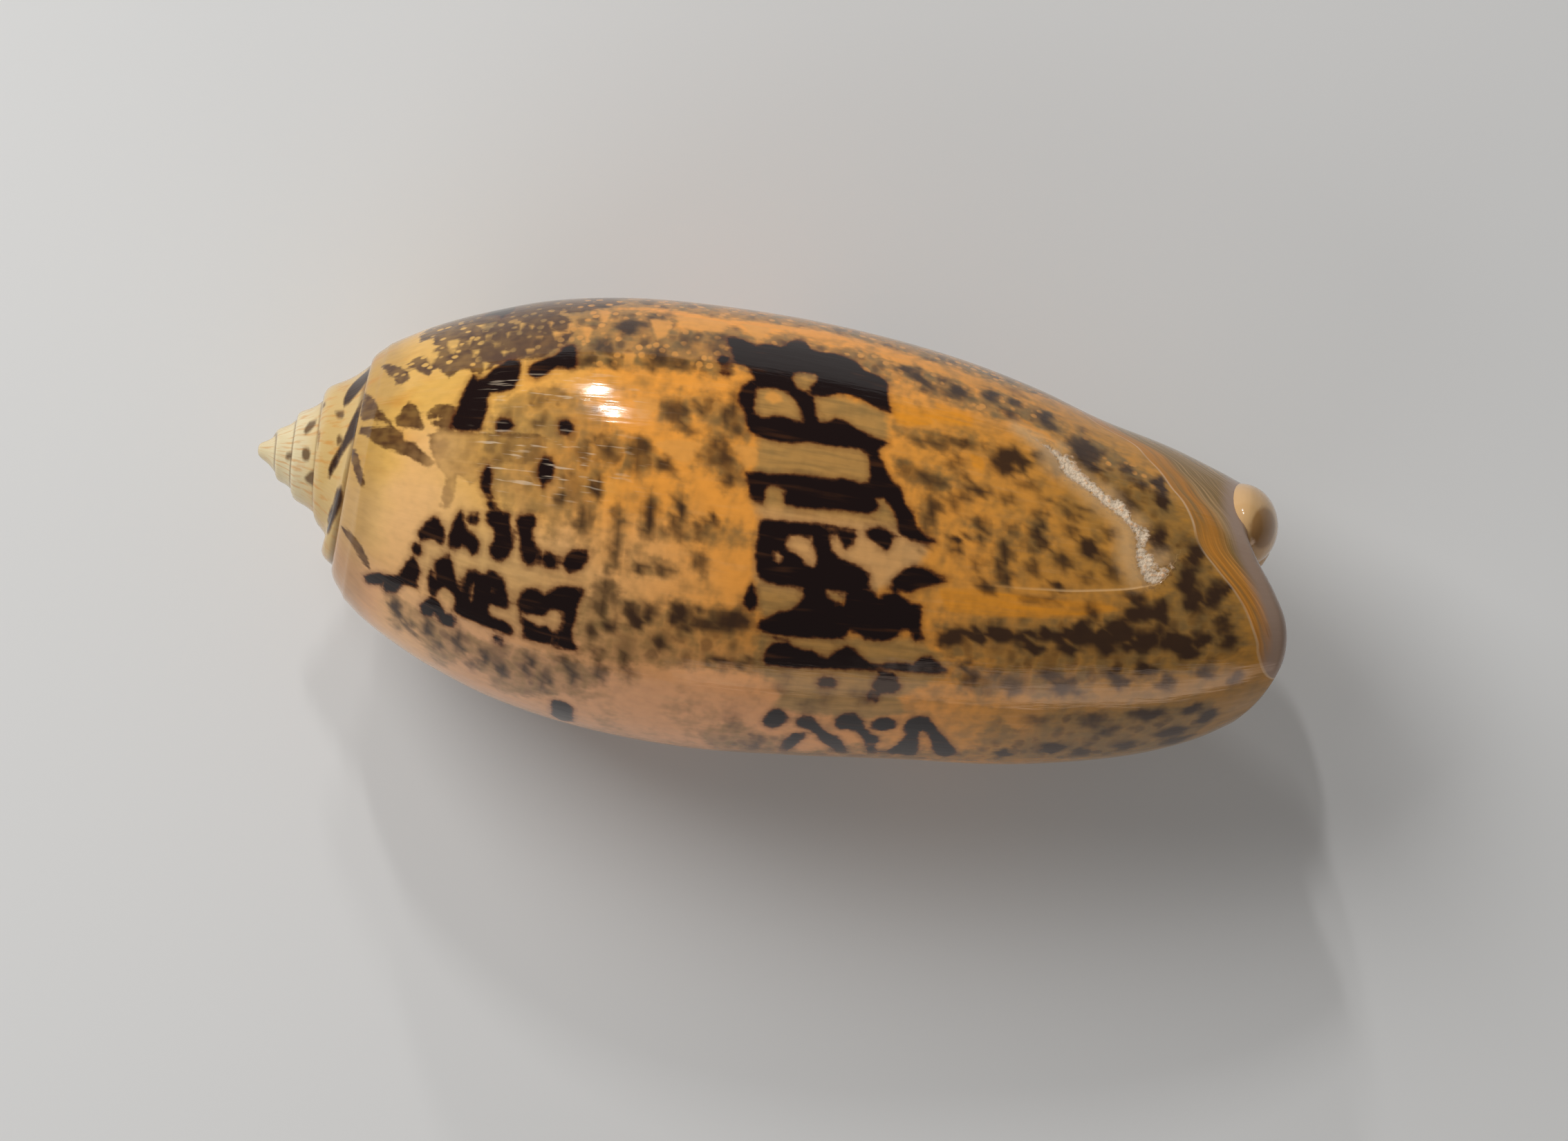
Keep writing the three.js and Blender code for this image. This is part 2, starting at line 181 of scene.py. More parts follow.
         40.6, 158, 40.3, 161, 40.7, 166, 40.5, 169, 40.3, 168, 40.1, 163, 39.9, 158, 39.6, 154,
         39.1, 151, 38.2, 151.3),
        (40.1, 148, 40.5, 145.4, 41.1, 145, 41.5, 147, 41.4, 149.5, 40.8, 151, 40.3, 150.4),
        (42.1, 149, 42.3, 145.4, 42.8, 143.7, 43.4, 144.2, 43.8, 147, 44.2, 151, 44.7, 154,
         45, 158, 45.4, 161, 45.4, 165, 44.9, 168, 44.4, 166, 44.1, 160, 43.9, 155, 43.6, 151,
         43.1, 149.5, 42.9, 152, 43, 157, 43.1, 162, 43, 168, 42.6, 169, 42, 166.5, 41.5, 168.5,
         41.3, 166, 41.8, 161, 42.2, 156, 42.4, 152),
        (20.5, 158, 21.1, 157, 21.7, 159, 21.7, 171, 21.1, 174, 20.6, 171),
        (13.9, 4, 14.7, 4, 14.7, 14, 14.6, 18, 14.3, 21, 14.1, 25, 13.95, 20, 13.7, 18.5, 13, 18,
         13, 14),
        # Flames on the spire and its cord
        (6.35, -340, 6.36, -332, 6.34, -324, 6.08, -318, 5.74, -314, 5.45, -310, 5.28, -308,
         5.15, -310, 5.12, -316, 5.22, -324, 5.51, -332, 5.86, -336, 6.19, -338),
        (6.34, -306, 6.33, -302, 6.31, -296, 6.29, -290, 6.27, -284, 6.09, -282, 5.81, -278,
         5.51, -272, 5.36, -266, 5.18, -262, 4.96, -256, 4.87, -256, 4.88, -262, 5, -268,
         5.25, -274, 5.5, -280, 5.66, -286, 5.85, -294, 6.07, -300, 6.21, -304),
        (5.57, -250, 5.81, -254, 5.98, -252, 6.02, -248, 5.89, -242, 5.68, -236, 5.5, -230,
         5.38, -224, 5.2, -220, 5.15, -220, 5.22, -230, 5.44, -240, 5.52, -246),
        (5.9, -400, 6.3, -404, 6.3, -394, 5.7, -386, 5.2, -380, 5.1, -384, 5.4, -392),
        (5.5, -176, 5.75, -180, 5.8, -172, 5.5, -160, 5.1, -152, 4.9, -154, 5.1, -166),
    ),
    Layer.BUFF: (
        (29.9, 52, 33, 52, 38.3, 53.5, 38.6, 62, 38, 69, 38.5, 76, 39, 80, 40, 86, 42, 90,
         41.5, 97, 40, 103, 38, 107, 35, 113, 33, 117, 31.9, 112, 31.6, 90, 31, 87, 30.8, 79,
         30.9, 70, 30.2, 63, 29.6, 56),
        (32.2, 45, 34.2, 45, 34.2, 53, 32.2, 53),
        (32.5, 119, 42, 117, 44, 123, 44, 128, 41.5, 136, 42, 142, 40, 146, 34, 144, 34.5, 136,
         32.5, 130),
        (11.5, 112, 12.5, 104, 14, 100, 18, 97, 18.6, 104, 21.5, 104, 22, 114, 22, 128, 21, 134,
         14, 134, 12, 126, 10.8, 120),
    ),
    Layer.WASH: (
        (14.5, 76, 15, 66, 18, 60, 21, 66, 22, 75, 21.5, 88, 20, 98, 17, 98, 15, 95, 14.5, 86),
        (11, 3, 14, 6, 17, 1, 20, 7, 24, 2, 27, 8, 31, 2, 34, 7, 38, 1, 41, 6, 44, 2, 47, 8, 50, 4,
         50, 14, 46, 24, 40, 24, 34, 20, 28, 24, 24, 22, 18, 25, 12, 22),
        (50.2, 50, 52, 60, 54, 68, 56, 78, 57, 86, 57, 96, 55.5, 101, 53, 106.5, 44, 108.5, 43,
         112,
         47, 124, 52, 128, 60, 124, 61.5, 112, 60.5, 100, 59, 90, 57.5, 76, 56, 64, 53.5, 48),
        (13, 24, 18, 24, 19, 24, 24.8, 26.5, 25, 34.5, 27.6, 34.5, 28, 30, 28.3, 29, 29, 31.5,
         29.6, 34, 29.9, 36, 30.2, 34.5, 30.6, 32, 31, 29.5, 32, 29, 33, 30, 33.3, 32, 36, 30,
         38, 31, 38.2, 44, 33, 47, 29.9, 45, 29.9, 47.5, 28.9, 48.5, 28.5, 52, 27.8, 52.3,
         26.9, 52, 26.5, 50.3, 26.1, 52.3, 24, 52.8, 22.6, 52.5, 21.5, 53.2, 19.2, 53.7, 16, 50,
         13, 50),
        (24.6, 64, 25.2, 60.5, 25.8, 58.5, 26.3, 59.7, 27.2, 58.5, 28.2, 58.7, 28.7, 60,
         29.3, 61, 30.2, 64, 30.5, 69, 30, 71, 28.8, 71.5, 27.9, 70.5, 27.5, 69, 27.3, 65.8,
         26.5, 65.8, 26.4, 69.5, 27, 71, 26, 70.5, 24.6, 68, 24.1, 66.5),
        (18.4, 73, 19.4, 70.5, 21, 73, 21.5, 75, 22.3, 71.5, 22.9, 75, 23.1, 76.5, 23.4, 74,
         23.7, 73, 24.2, 75, 24.9, 77.5, 26, 80.3, 26.3, 82.3, 24.8, 82, 24.5, 84.3, 23.3, 84,
         22.9, 81, 22, 82.5, 20.5, 81.5, 19.4, 79),
        (27.5, 73.5, 28, 71, 29, 71, 29.3, 74, 30, 77.5, 30.4, 79.5, 30.6, 84, 29.3, 84.7,
         28.9, 82, 28.7, 79.3, 27.9, 79.5, 27.1, 79.7, 27.3, 76.5),
        (20.7, 90, 21.2, 84.5, 21.9, 85, 21.9, 90, 21.6, 97, 21.6, 104, 20.7, 104),
        (22.8, 93, 23.3, 92, 23.7, 99, 23.5, 109, 22.8, 111),
        (24.4, 96, 24.8, 88, 25.3, 90, 25.4, 95.5, 26.2, 95.5, 26.3, 86, 27, 84.5, 27.2, 92,
         27.3, 94, 28.2, 93.6, 28.9, 91.5, 29.4, 93.7, 31.6, 93.5, 31.6, 97.5, 27.5, 98.5,
         24.6, 99.5),
        (24, 102, 24.6, 101, 25, 104.8, 27, 104.8, 27.2, 108.5, 24.3, 109),
        (27.8, 101, 28.7, 101, 28.8, 106.5, 28, 106),
        (18.9, 96, 19.4, 90, 20, 93, 19.8, 103, 19, 104),
        (21.7, 118, 22.6, 112, 23.3, 111, 23.9, 115, 24.3, 117, 24.8, 116, 25.3, 117, 25.9, 115.5,
         26.6, 117, 27, 114, 27.3, 112.5, 27.8, 115, 28.5, 114.5, 29.3, 115, 30.2, 114.3,
         31, 114, 31.4, 110, 31.7, 107, 32.1, 110, 32.3, 114, 32.6, 117, 33, 128, 34, 133,
         30, 132, 26, 133.5, 24, 136, 22, 136, 21.5, 128),
        (38.3, 34, 39, 31, 40.2, 31, 41, 33.5, 42, 32, 43, 35, 43.3, 38.5, 43.8, 36, 44.3, 31.5,
         45.2, 30.5, 45.6, 33, 46, 31.5, 46.5, 34, 47, 33, 47.5, 31.5, 48.5, 32, 49, 35, 49, 41,
         48.2, 43.5, 46.8, 45, 45.4, 45.5, 44, 45, 42, 44, 40.5, 44, 39.8, 40.5, 38.5, 38.5),
        (38.9, 58, 42, 58, 43.5, 55.5, 44.5, 57, 44.7, 60.5, 43.3, 61, 42, 63.5, 40, 63, 38.9, 61),
        (39.2, 68, 41, 70.5, 42.2, 69, 43, 72, 42.5, 75, 40, 75, 39.3, 72),
        (41.2, 80, 41.8, 76, 42.2, 78, 42.3, 88, 41.5, 89, 41, 86),
        (44, 84, 44.8, 81, 45.3, 83.5, 46.4, 84, 46.9, 81.5, 47.6, 84, 48, 79, 48.9, 79.5,
         49.2, 88, 48.2, 90, 47.2, 87.5, 47, 100, 45.9, 100, 45.8, 88, 44.3, 88),
        (43.5, 113, 44.5, 111, 46, 112, 47, 110.5, 48.3, 114, 49, 111, 50, 110.5, 50.8, 114,
         51.5, 108, 52.3, 107, 53, 112, 54, 106, 54.6, 101, 56, 99, 57, 100, 58, 96, 60, 94,
         61.5, 103, 62, 112, 61.5, 118, 58, 121, 55, 121, 50, 124, 44, 122),
        (44.6, 125, 46, 123, 49, 125, 51, 123.5, 53, 129, 52, 134, 49, 133, 46, 134, 44.8, 131),
        (49.8, 40, 51, 38.5, 52.5, 41, 53.6, 45, 55, 50, 56.6, 60, 57.6, 72, 58.8, 82, 60, 92,
         58, 97, 56.6, 90, 57, 85.5, 56, 86, 55.2, 79, 55, 73.5, 53.9, 70, 53.2, 65, 51.8, 62,
         50.6, 58, 50, 54, 49.4, 47),
        (9.5, 139, 12, 140, 14, 141, 17.4, 140, 21.5, 137, 24, 138, 22, 150, 17.3, 165, 15, 150,
         13, 168, 11.5, 150, 10, 160),
        (29.5, 158, 32, 150, 33, 156, 34.8, 158, 36, 172, 37.5, 165, 39.5, 160, 42, 165, 46, 160,
         47, 172, 40, 178, 31, 176),
        (46.8, 148, 47.6, 142, 49, 150, 51, 140, 54, 141, 57, 139, 60.4, 140, 61.2, 150,
         59, 170, 54, 172, 50, 168, 48, 172, 46.5, 160),
    ),
    Layer.BROWN: (
        (9.4, 28, 9.2, 18, 9.8, 9, 10.8, 4, 11.6, 8, 12.6, 3, 13.6, 7, 14.8, 1, 16, 6, 17.3, 2,
         18.4, 8, 19.6, 4, 21.8, 9, 20.5, 14, 21.5, 19, 19, 26, 17, 26.5, 14, 26, 12.5, 26, 11,
         27),
        (10.2, 30, 10.3, 27, 11, 26, 12.5, 25.5, 12.9, 30, 13.3, 35, 13.8, 30, 14, 25, 17, 25,
         17.5, 28, 18.3, 31, 18.4, 36, 18.6, 40, 18.3, 44, 17.5, 47, 17, 50, 16, 49.5, 15.5, 49.5,
         14.8, 50.5, 14, 53, 13.2, 55.5, 12.8, 52, 12.3, 51.5, 11.9, 53.5, 11.6, 54.8, 11.2, 52,
         10.8, 49.5, 10.4, 50.5, 10.3, 52.5, 9.8, 50, 9.5, 48, 9.2, 47.5, 8.9, 47, 9.3, 46,
         8.9, 43.5, 9.2, 41.5, 9.6, 40.5, 9.9, 42, 10, 45, 10.2, 47, 10.5, 43, 10.3, 40,
         10.7, 36, 10.3, 34),
        (7.2, 37, 7.6, 39, 8, 42, 8.4, 45, 8.9, 49, 9.1, 53, 8.7, 54.5, 8.3, 54, 8.4, 52,
         8.2, 50, 8.5, 49, 7.9, 48, 7.7, 45, 7.9, 44, 7.5, 42),
        (6.4, 52, 6.71, 56, 6.98, 58, 7.49, 65.5, 8.19, 71.5, 8.5, 73.5, 7.83, 71, 7.36, 68.5,
         7.6, 70.8, 7.17, 69.2, 6.65, 69.5, 6.46, 66, 6.42, 60),
        (6.61, 73, 7.27, 74.5, 8, 75, 8.73, 75, 9.22, 77.8, 9.52, 81, 10.08, 81, 10.57, 83.5,
         11.26, 86, 11.51, 88, 10.83, 88, 10.14, 86, 9.34, 84.5, 8.53, 83, 7.86, 81.5,
         7.14, 78, 6.6, 76),
        (8.74, 71, 8.99, 69, 9.11, 66.5, 9.36, 64.5, 9.78, 66.5, 10.2, 70.5, 10.56, 75.5,
         10.08, 75, 9.47, 74.5, 8.92, 74),
        (10.68, 70, 10.93, 68, 11.47, 66.5, 12.14, 67.5, 12.44, 69.5, 12.39, 73, 12.15, 75.5,
         11.36, 74.5, 11.11, 74, 11.5, 72.5, 11.55, 70.5, 11.23, 70, 10.87, 72),
        (11, 78, 12, 76, 14, 76.5, 18, 76, 18.2, 82, 17, 84, 15.2, 84, 14.6, 89, 14, 92, 13, 89,
         12.9, 100, 12.3, 101, 12.5, 91, 11.8, 88, 11.4, 84),
        (4.68, -306, 5.25, -304, 5.33, -298, 4.82, -300),
        (5.08, -286, 5.32, -286, 5.52, -282, 5.32, -278, 5.13, -280),
        (3.07, -672, 3.5, -672, 3.51, -666, 3.23, -658, 2.9, -654, 2.84, -660, 2.93, -666),
        (2.94, -636, 3.27, -638, 3.48, -632, 3.44, -624, 3.12, -622, 2.95, -628),
        (3.28, -602, 3.62, -612, 3.93, -616, 3.99, -598, 3.78, -598, 3.47, -598),
        (1.91, -986, 2.12, -990, 2.28, -988, 2.28, -982, 2.07, -976, 1.89, -978),
        (3.82, -292, 3.96, -288, 3.95, -276, 3.85, -284),
        (3.82, -314, 3.8, -320, 3.95, -320, 3.96, -314),
        (6.23, 84, 6.54, 86, 6.79, 90, 7.07, 94, 7.41, 100, 7.16, 100, 6.73, 96, 6.36, 90),
        (6.26, 124, 6.61, 124, 7.13, 124, 7.62, 126, 8.16, 131, 8.33, 134, 8.08, 133,
         7.71, 132, 7.09, 128, 6.49, 126),
    ),
    Layer.TENT: (
        (44.8, 41, 46, 40.5, 48.5, 46, 49, 49.5, 47.6, 48.5, 46, 44.5),
        (9.9, 40, 10.7, 40, 10.55, 45, 10.35, 48.5, 10.1, 45), (11.2, 40.5, 11.8, 40.5, 11.55, 44),
        (12.7, 43.5, 13.25, 43.5, 12.95, 47.5), (14.5, 45.8, 15.1, 45.8, 14.8, 48.5),
        (16, 45.8, 16.6, 45.8, 16.3, 49), (17.4, 38, 18.1, 38, 18, 41, 17.8, 43.5),
        (13.5, 50, 13.95, 50.5, 13.7, 54), (19.1, 36, 19.9, 36, 19.7, 42, 19.4, 43),
        (23.2, 30, 24.7, 30, 24.4, 38, 24, 42, 23.6, 38), (21.9, 47, 22.8, 47, 22.5, 53, 22.2, 53),
        (18.3, 33.5, 18.8, 33.5, 18.6, 39.5, 18.4, 39.5), (20, 25, 20.8, 25.5, 20.6, 34, 20.2, 33),
        (11.1, 34.5, 11.8, 34.5, 11.75, 38, 11.4, 41.5, 11.1, 38), (15.3, 31, 15.7, 31, 15.5, 37),
        (14.6, 36, 15, 36, 14.8, 39.5), (13.4, 35, 13.75, 35, 13.6, 40.5, 13.45, 39),
        (15.9, 33, 16.3, 33.5, 16.1, 36), (17, 32, 17.4, 32, 17.2, 36),
        (12.2, 37, 12.6, 37, 12.4, 41),
        (16.5, 40, 16.9, 40, 16.7, 43), (14, 41, 14.4, 41, 14.2, 44.5),
        (26.4, 48.7, 26.9, 48.7, 26.6, 51.5),
        (24.8, 26.8, 28, 26.8, 27.6, 34, 25.1, 34),
        (28.8, 26.5, 30.7, 26.5, 30.3, 33, 29.9, 35.3, 29.3, 32),
        (31, 54.7, 31.7, 54.7, 32, 57.5, 31.3, 59, 30.8, 57.5),
        (26, 73, 27.6, 73, 27.2, 76, 26.9, 79.3, 26, 78.6, 25.2, 76.5, 24.6, 74.5),
        (29.3, 72.5, 31, 72.5, 30.9, 76, 30.5, 79, 29.9, 76),
        (23, 62.5, 24.7, 62, 24.3, 66, 23.9, 69.5, 23.4, 68),
        (38.4, 50.5, 39.5, 49.5, 41, 50, 41.2, 55, 39.8, 57.5, 38.9, 57.2),
        (41.2, 46, 43.6, 46.5, 43.6, 52, 42, 54.5, 41.2, 53),
        (43.6, 62, 44.6, 63, 44.6, 68, 43.8, 66),
        (42.8, 102, 46, 101.6, 50, 102, 53, 101.5, 54, 103.5, 51, 107, 47, 108.5, 43.5, 108.5),
    ),
    Layer.SCAR: (
        (47.2, 48.5, 48, 50, 48.6, 50, 49.1, 52.3, 49.9, 51.4, 50.2, 54, 49.9, 55, 50.3, 55.4,
         50.8, 58, 50.95, 59, 51.4, 60, 51.9, 62, 52.3, 63.5, 52.7, 65, 53.1, 64, 53.5, 66,
         53.85, 68.5, 53.95, 71.5, 54.35, 72.5, 54.65, 74.5, 55, 73.4, 55.25, 74.5, 55.2, 77.5,
         55, 81.5, 55.2, 83, 55.65, 84, 55.8, 87, 55.5, 90, 55.9, 88.3, 56.6, 86, 57, 85.4,
         56.8, 88, 56.5, 90.5, 56.1, 93.6, 55.4, 95, 55.2, 93, 54.7, 89.5, 54.5, 86, 54.4, 82.5,
         54.4, 79, 54.1, 76, 53.5, 73, 52.8, 70.8, 52, 68.2, 51.3, 65.4, 50.4, 63, 49.7, 61.5,
         49.2, 59, 49, 55.5, 48.6, 53.2, 48, 51.2),
    ),
}

HOLES: dict[Layer, tuple[Outline, ...]] = {
    Layer.DARK: (
        (32.3, 46.5, 32.9, 45.2, 34, 45.5, 33.9, 48.5, 33.4, 52.5, 33.1, 53.9, 32.6, 52, 32.3,
         49.5),
        (30.2, 55, 30.5, 53.6, 31.3, 53.3, 32.2, 53.4, 32.5, 55, 33, 57.5, 33.3, 60.5, 33.4, 63.3,
         33.1, 63.8, 32.6, 62.6, 31.8, 62.4, 31, 63.8, 30.3, 63.2, 30.2, 60),
        (33.4, 93, 34.9, 93, 35.1, 95.5, 35.4, 98, 35.4, 100.5, 35.1, 101.5, 34.6, 100.5,
         34.2, 98.5, 33.6, 97.8, 33.2, 96.5),
        (32.5, 98, 33.3, 98, 33.4, 99.5, 33.2, 101.5, 32.7, 101),
        (35.9, 106, 37.6, 106, 37.4, 109.5, 37, 112.2, 36.9, 110, 36.2, 108.2),
        (14.7, 121, 15, 121.5, 15, 128, 14.8, 129, 14.6, 126),
        (16.05, 121, 16.35, 121.5, 16.35, 124.5, 16.05, 124),
        (13.1, 127.5, 13.6, 127.8, 13.6, 131.5, 13.3, 132),
        (12.3, 122, 12.6, 122.3, 12.6, 125, 12.4, 125.3),
    ),
}

# Blurred spots: distance along the axis, wind, half width in mm, half height in degrees, strength
SPOTS: tuple[Spot, ...] = (
    (20.1, 21.5, 0.3, 2, 0.6), (21.9, 36, 0.5, 4, 0.85), (22.7, 33.5, 0.35, 2, 0.6),
    (20.6, 44, 0.45, 3, 0.6), (24.05, 27.5, 0.4, 2.5, 0.45), (25.7, 41, 0.5, 4, 0.4),
    (24.2, 48, 0.7, 4, 0.45), (25.3, 50, 0.9, 2, 0.5), (21.5, 51.5, 0.35, 1.5, 0.5),
    (19.7, 51.5, 0.4, 2, 0.35), (27.4, 38, 0.5, 3.5, 0.4), (27.6, 42, 0.6, 3, 0.4),
    (23.8, 51, 0.4, 2, 0.45), (20.9, 47.5, 0.5, 1.5, 0.4), (25.3, 64, 0.5, 2, 0.5),
    (25.9, 65, 0.35, 3.3, 0.55), (25.6, 66.5, 0.5, 1.5, 0.45), (27.1, 63.3, 0.4, 1.3, 0.5),
    (29.1, 62, 0.4, 4, 0.5), (28.8, 65, 0.35, 3, 0.55), (26.6, 70, 0.5, 1.2, 0.45),
    (29.4, 68, 0.35, 2, 0.45), (28.5, 72.5, 0.5, 2, 0.5), (28.9, 76.5, 0.6, 2, 0.5),
    (27.7, 77, 0.35, 2, 0.35), (23.9, 76, 0.45, 2.6, 0.55), (23.7, 81, 0.45, 2.2, 0.5),
    (25.5, 80.5, 0.6, 1.6, 0.6), (23.5, 78, 0.35, 3, 0.45), (20.8, 76.5, 0.45, 1.6, 0.45),
    (20.5, 79.5, 0.35, 1.6, 0.5), (22.1, 78, 0.4, 2.5, 0.45), (29.5, 81.8, 0.45, 2, 0.55),
    (19.6, 86, 0.3, 2, 0.4), (21.6, 87.5, 0.35, 3.2, 0.65), (19.6, 92, 0.3, 2.2, 0.55),
    (21.1, 97, 0.45, 4, 0.5), (23.1, 95, 0.22, 3, 0.45), (23.2, 101, 0.25, 5, 0.45),
    (23.1, 107, 0.3, 3, 0.4), (25, 93, 0.28, 4, 0.65), (25, 97.3, 0.5, 1.4, 0.55),
    (26.7, 92.5, 0.28, 4, 0.65), (26.9, 97, 0.5, 1.2, 0.45), (28.9, 92.8, 0.35, 1.3, 0.65),
    (28.2, 95.2, 0.5, 1.5, 0.4), (28.4, 103.5, 0.35, 2.5, 0.45), (24.8, 106.8, 0.45, 1.3, 0.6),
    (26.3, 106.5, 0.6, 1.3, 0.45), (23, 114.5, 0.4, 3, 0.5), (22.8, 119, 0.5, 2.5, 0.55),
    (24.6, 118.2, 0.4, 1.2, 0.75), (24.9, 121.5, 0.45, 2, 0.8), (25.7, 118.5, 0.4, 2.5, 0.65),
    (27.4, 117.5, 0.45, 2.6, 0.85), (28.7, 116, 0.5, 1.3, 0.55), (29.3, 119.5, 0.8, 1.5, 0.6),
    (30.8, 117.5, 0.9, 3, 0.75), (28.5, 120.6, 1, 1, 0.55), (23.5, 124.3, 0.4, 2, 0.65),
    (22.4, 127.5, 0.45, 1.8, 0.55), (26.5, 127, 0.4, 2.2, 0.6), (22.8, 132.5, 0.4, 1.5, 0.5),
    (24.5, 132.5, 0.4, 1.6, 0.5), (30.2, 129.3, 0.7, 1.1, 0.65), (32, 128.8, 0.6, 1.1, 0.55),
    (17.4, 73, 0.4, 1.5, 0.45), (20.7, 138.5, 0.3, 1.8, 0.5), (34.4, 134, 0.4, 5, 0.3),
    (37, 138, 0.5, 3, 0.35), (39.2, 137, 0.5, 3, 0.35), (36, 142, 0.4, 3, 0.3),
    (39, 34.5, 0.5, 1.8, 0.75), (39.9, 33, 0.4, 1.5, 0.45), (40, 37, 0.45, 2.2, 0.75),
    (40.8, 41, 0.5, 2.2, 0.5), (42.5, 37.8, 0.6, 2.6, 0.75), (42.4, 40.5, 0.9, 2, 0.5),
    (41.6, 34, 0.5, 1.5, 0.35), (44.6, 34.8, 0.5, 3.2, 0.75), (46.1, 34.5, 0.4, 2, 0.65),
    (45.9, 41.5, 0.6, 2.2, 0.6), (48, 37, 0.45, 4, 0.75), (48.3, 40.8, 0.5, 1.8, 0.5),
    (50.5, 34, 0.3, 2, 0.4), (46, 27, 0.5, 3, 0.35), (46, 60, 0.75, 3.2, 0.8),
    (45.7, 64, 0.7, 3, 0.75), (46.8, 60.5, 0.5, 2.6, 0.7), (48.1, 55.5, 0.55, 3, 0.65),
    (49, 59, 0.5, 3.2, 0.65), (42.8, 59, 0.9, 1.3, 0.45), (41.2, 61.5, 1.1, 1.4, 0.45),
    (41.6, 73, 1, 1.6, 0.5), (40.2, 71.5, 0.5, 3, 0.3), (44.5, 73.5, 0.8, 1.5, 0.6),
    (43.6, 76, 0.5, 1.3, 0.45), (50.2, 75, 0.6, 1.6, 0.45), (51, 72, 0.8, 1, 0.4),
    (49.2, 71.5, 1, 0.9, 0.3), (41.8, 82, 0.4, 6, 0.55), (44.8, 83, 0.4, 1.6, 0.5),
    (45, 86.5, 0.35, 2.4, 0.5), (46.8, 83.5, 0.4, 2, 0.4), (48.4, 83, 0.4, 3.5, 0.6),
    (48.6, 87, 0.4, 2, 0.65), (51.6, 84.7, 0.55, 2.6, 0.85), (52.2, 87.5, 0.6, 2, 0.45),
    (43.6, 88.2, 0.45, 0.9, 0.85), (43.6, 91, 0.4, 2, 0.55), (50.1, 90.5, 0.5, 3, 0.55),
    (46.5, 92, 0.4, 4.5, 0.6), (46.7, 97, 0.45, 2, 0.6), (50.1, 98.4, 0.45, 1.2, 0.7),
    (41.5, 91.5, 0.2, 1.4, 0.5), (50.6, 47, 0.8, 6, 0.75), (51.3, 47, 0.5, 4, 0.6),
    (50.9, 54, 0.7, 3, 0.7), (53.3, 49.5, 0.35, 2.5, 0.55), (54.4, 55.5, 0.3, 3, 0.6),
    (55.5, 52, 0.35, 4, 0.85), (55.8, 59.5, 0.35, 4, 0.85), (53.4, 66, 0.6, 4.5, 0.75),
    (55.8, 79, 0.5, 6, 0.8), (58.2, 80.5, 0.5, 4, 0.8), (57.9, 91, 0.35, 6, 0.8),
    (58.4, 98.5, 0.5, 3.5, 0.85), (59.6, 95.5, 0.25, 4.5, 0.75), (60.2, 92, 0.3, 3, 0.7),
    (54.9, 98.8, 0.6, 2, 0.7), (55.2, 104, 0.85, 2.6, 0.85), (56.5, 103, 0.4, 3.5, 0.8),
    (52.3, 105, 0.4, 3.4, 0.5), (51.9, 111.5, 0.55, 3.6, 0.95), (49.6, 112.5, 0.55, 1.6, 0.9),
    (49, 117, 0.7, 1.5, 0.85), (51, 117, 0.6, 1.8, 0.75), (54.2, 110.5, 0.8, 3.6, 0.9),
    (53.4, 115.5, 0.7, 2.6, 0.8), (55.2, 115.5, 0.7, 2, 0.75), (57.7, 113.5, 0.9, 3, 0.95),
    (58.7, 117, 0.5, 2, 0.9), (56.7, 109, 0.35, 2, 0.6), (45.5, 101, 0.6, 1.6, 0.6),
    (49, 102.5, 1.2, 1.2, 0.4), (44, 116, 0.75, 2.3, 0.9), (45.2, 113.5, 0.4, 1.5, 0.8),
    (46.9, 113.7, 0.8, 1.8, 0.95), (60.4, 106, 0.4, 4, 0.6), (61, 112, 0.5, 3, 0.65),
    (48.2, 113.5, 0.5, 1.6, 0.85), (50.8, 113, 0.5, 1.6, 0.9), (53, 112.5, 0.6, 2, 0.9),
    (56, 113, 0.7, 2.4, 0.9), (59.2, 112, 0.5, 3, 0.8), (45.9, 115, 0.5, 1.4, 0.85),
    (42.9, 66, 0.5, 2.5, 0.45), (47.4, 68.5, 0.6, 2, 0.4), (43.4, 70.5, 0.4, 2, 0.4),
    (46.3, 74, 0.5, 2, 0.45), (48.3, 76.5, 0.5, 1.8, 0.4), (43, 79, 0.4, 2.5, 0.45),
    (50.4, 80, 0.45, 2, 0.5), (52.8, 79, 0.5, 2.5, 0.5), (53.3, 91.5, 0.5, 2.5, 0.55),
    (44.9, 94.5, 0.4, 2, 0.45), (48.4, 94, 0.4, 2.5, 0.5), (51.8, 94.5, 0.5, 2, 0.45),
    (45.2, 123, 0.45, 1.3, 0.55), (45.6, 128.5, 0.45, 3, 0.6), (47, 125.5, 0.5, 2, 0.4),
    (48.2, 130, 0.7, 3, 0.5), (50.4, 126, 0.6, 2, 0.6), (51.3, 129, 0.6, 3, 0.7),
    (52, 132, 0.4, 1.5, 0.5), (54.2, 124.5, 0.4, 2, 0.65), (54.6, 128, 0.5, 2.5, 0.7),
    (55.9, 121.5, 0.35, 1.8, 0.8), (56.3, 124, 0.5, 2, 0.65), (57.6, 128, 0.45, 3.4, 0.6),
    (59.9, 124.5, 0.35, 2.5, 0.6), (61.8, 128, 0.35, 3, 0.6), (50, 142.5, 0.8, 2, 0.4),
    (53.5, 144.5, 0.6, 3.6, 0.55), (56.8, 142.3, 0.9, 2.4, 0.8), (59.5, 141.8, 0.6, 2.5, 0.8),
    (60.5, 148, 0.4, 4, 0.85), (54.6, 150.5, 0.6, 3, 0.55), (58.5, 155.5, 0.8, 4, 0.75),
    (51.4, 159.5, 0.55, 4, 0.95), (48.5, 162.5, 0.4, 3, 0.85), (53.2, 165, 0.5, 5, 0.65),
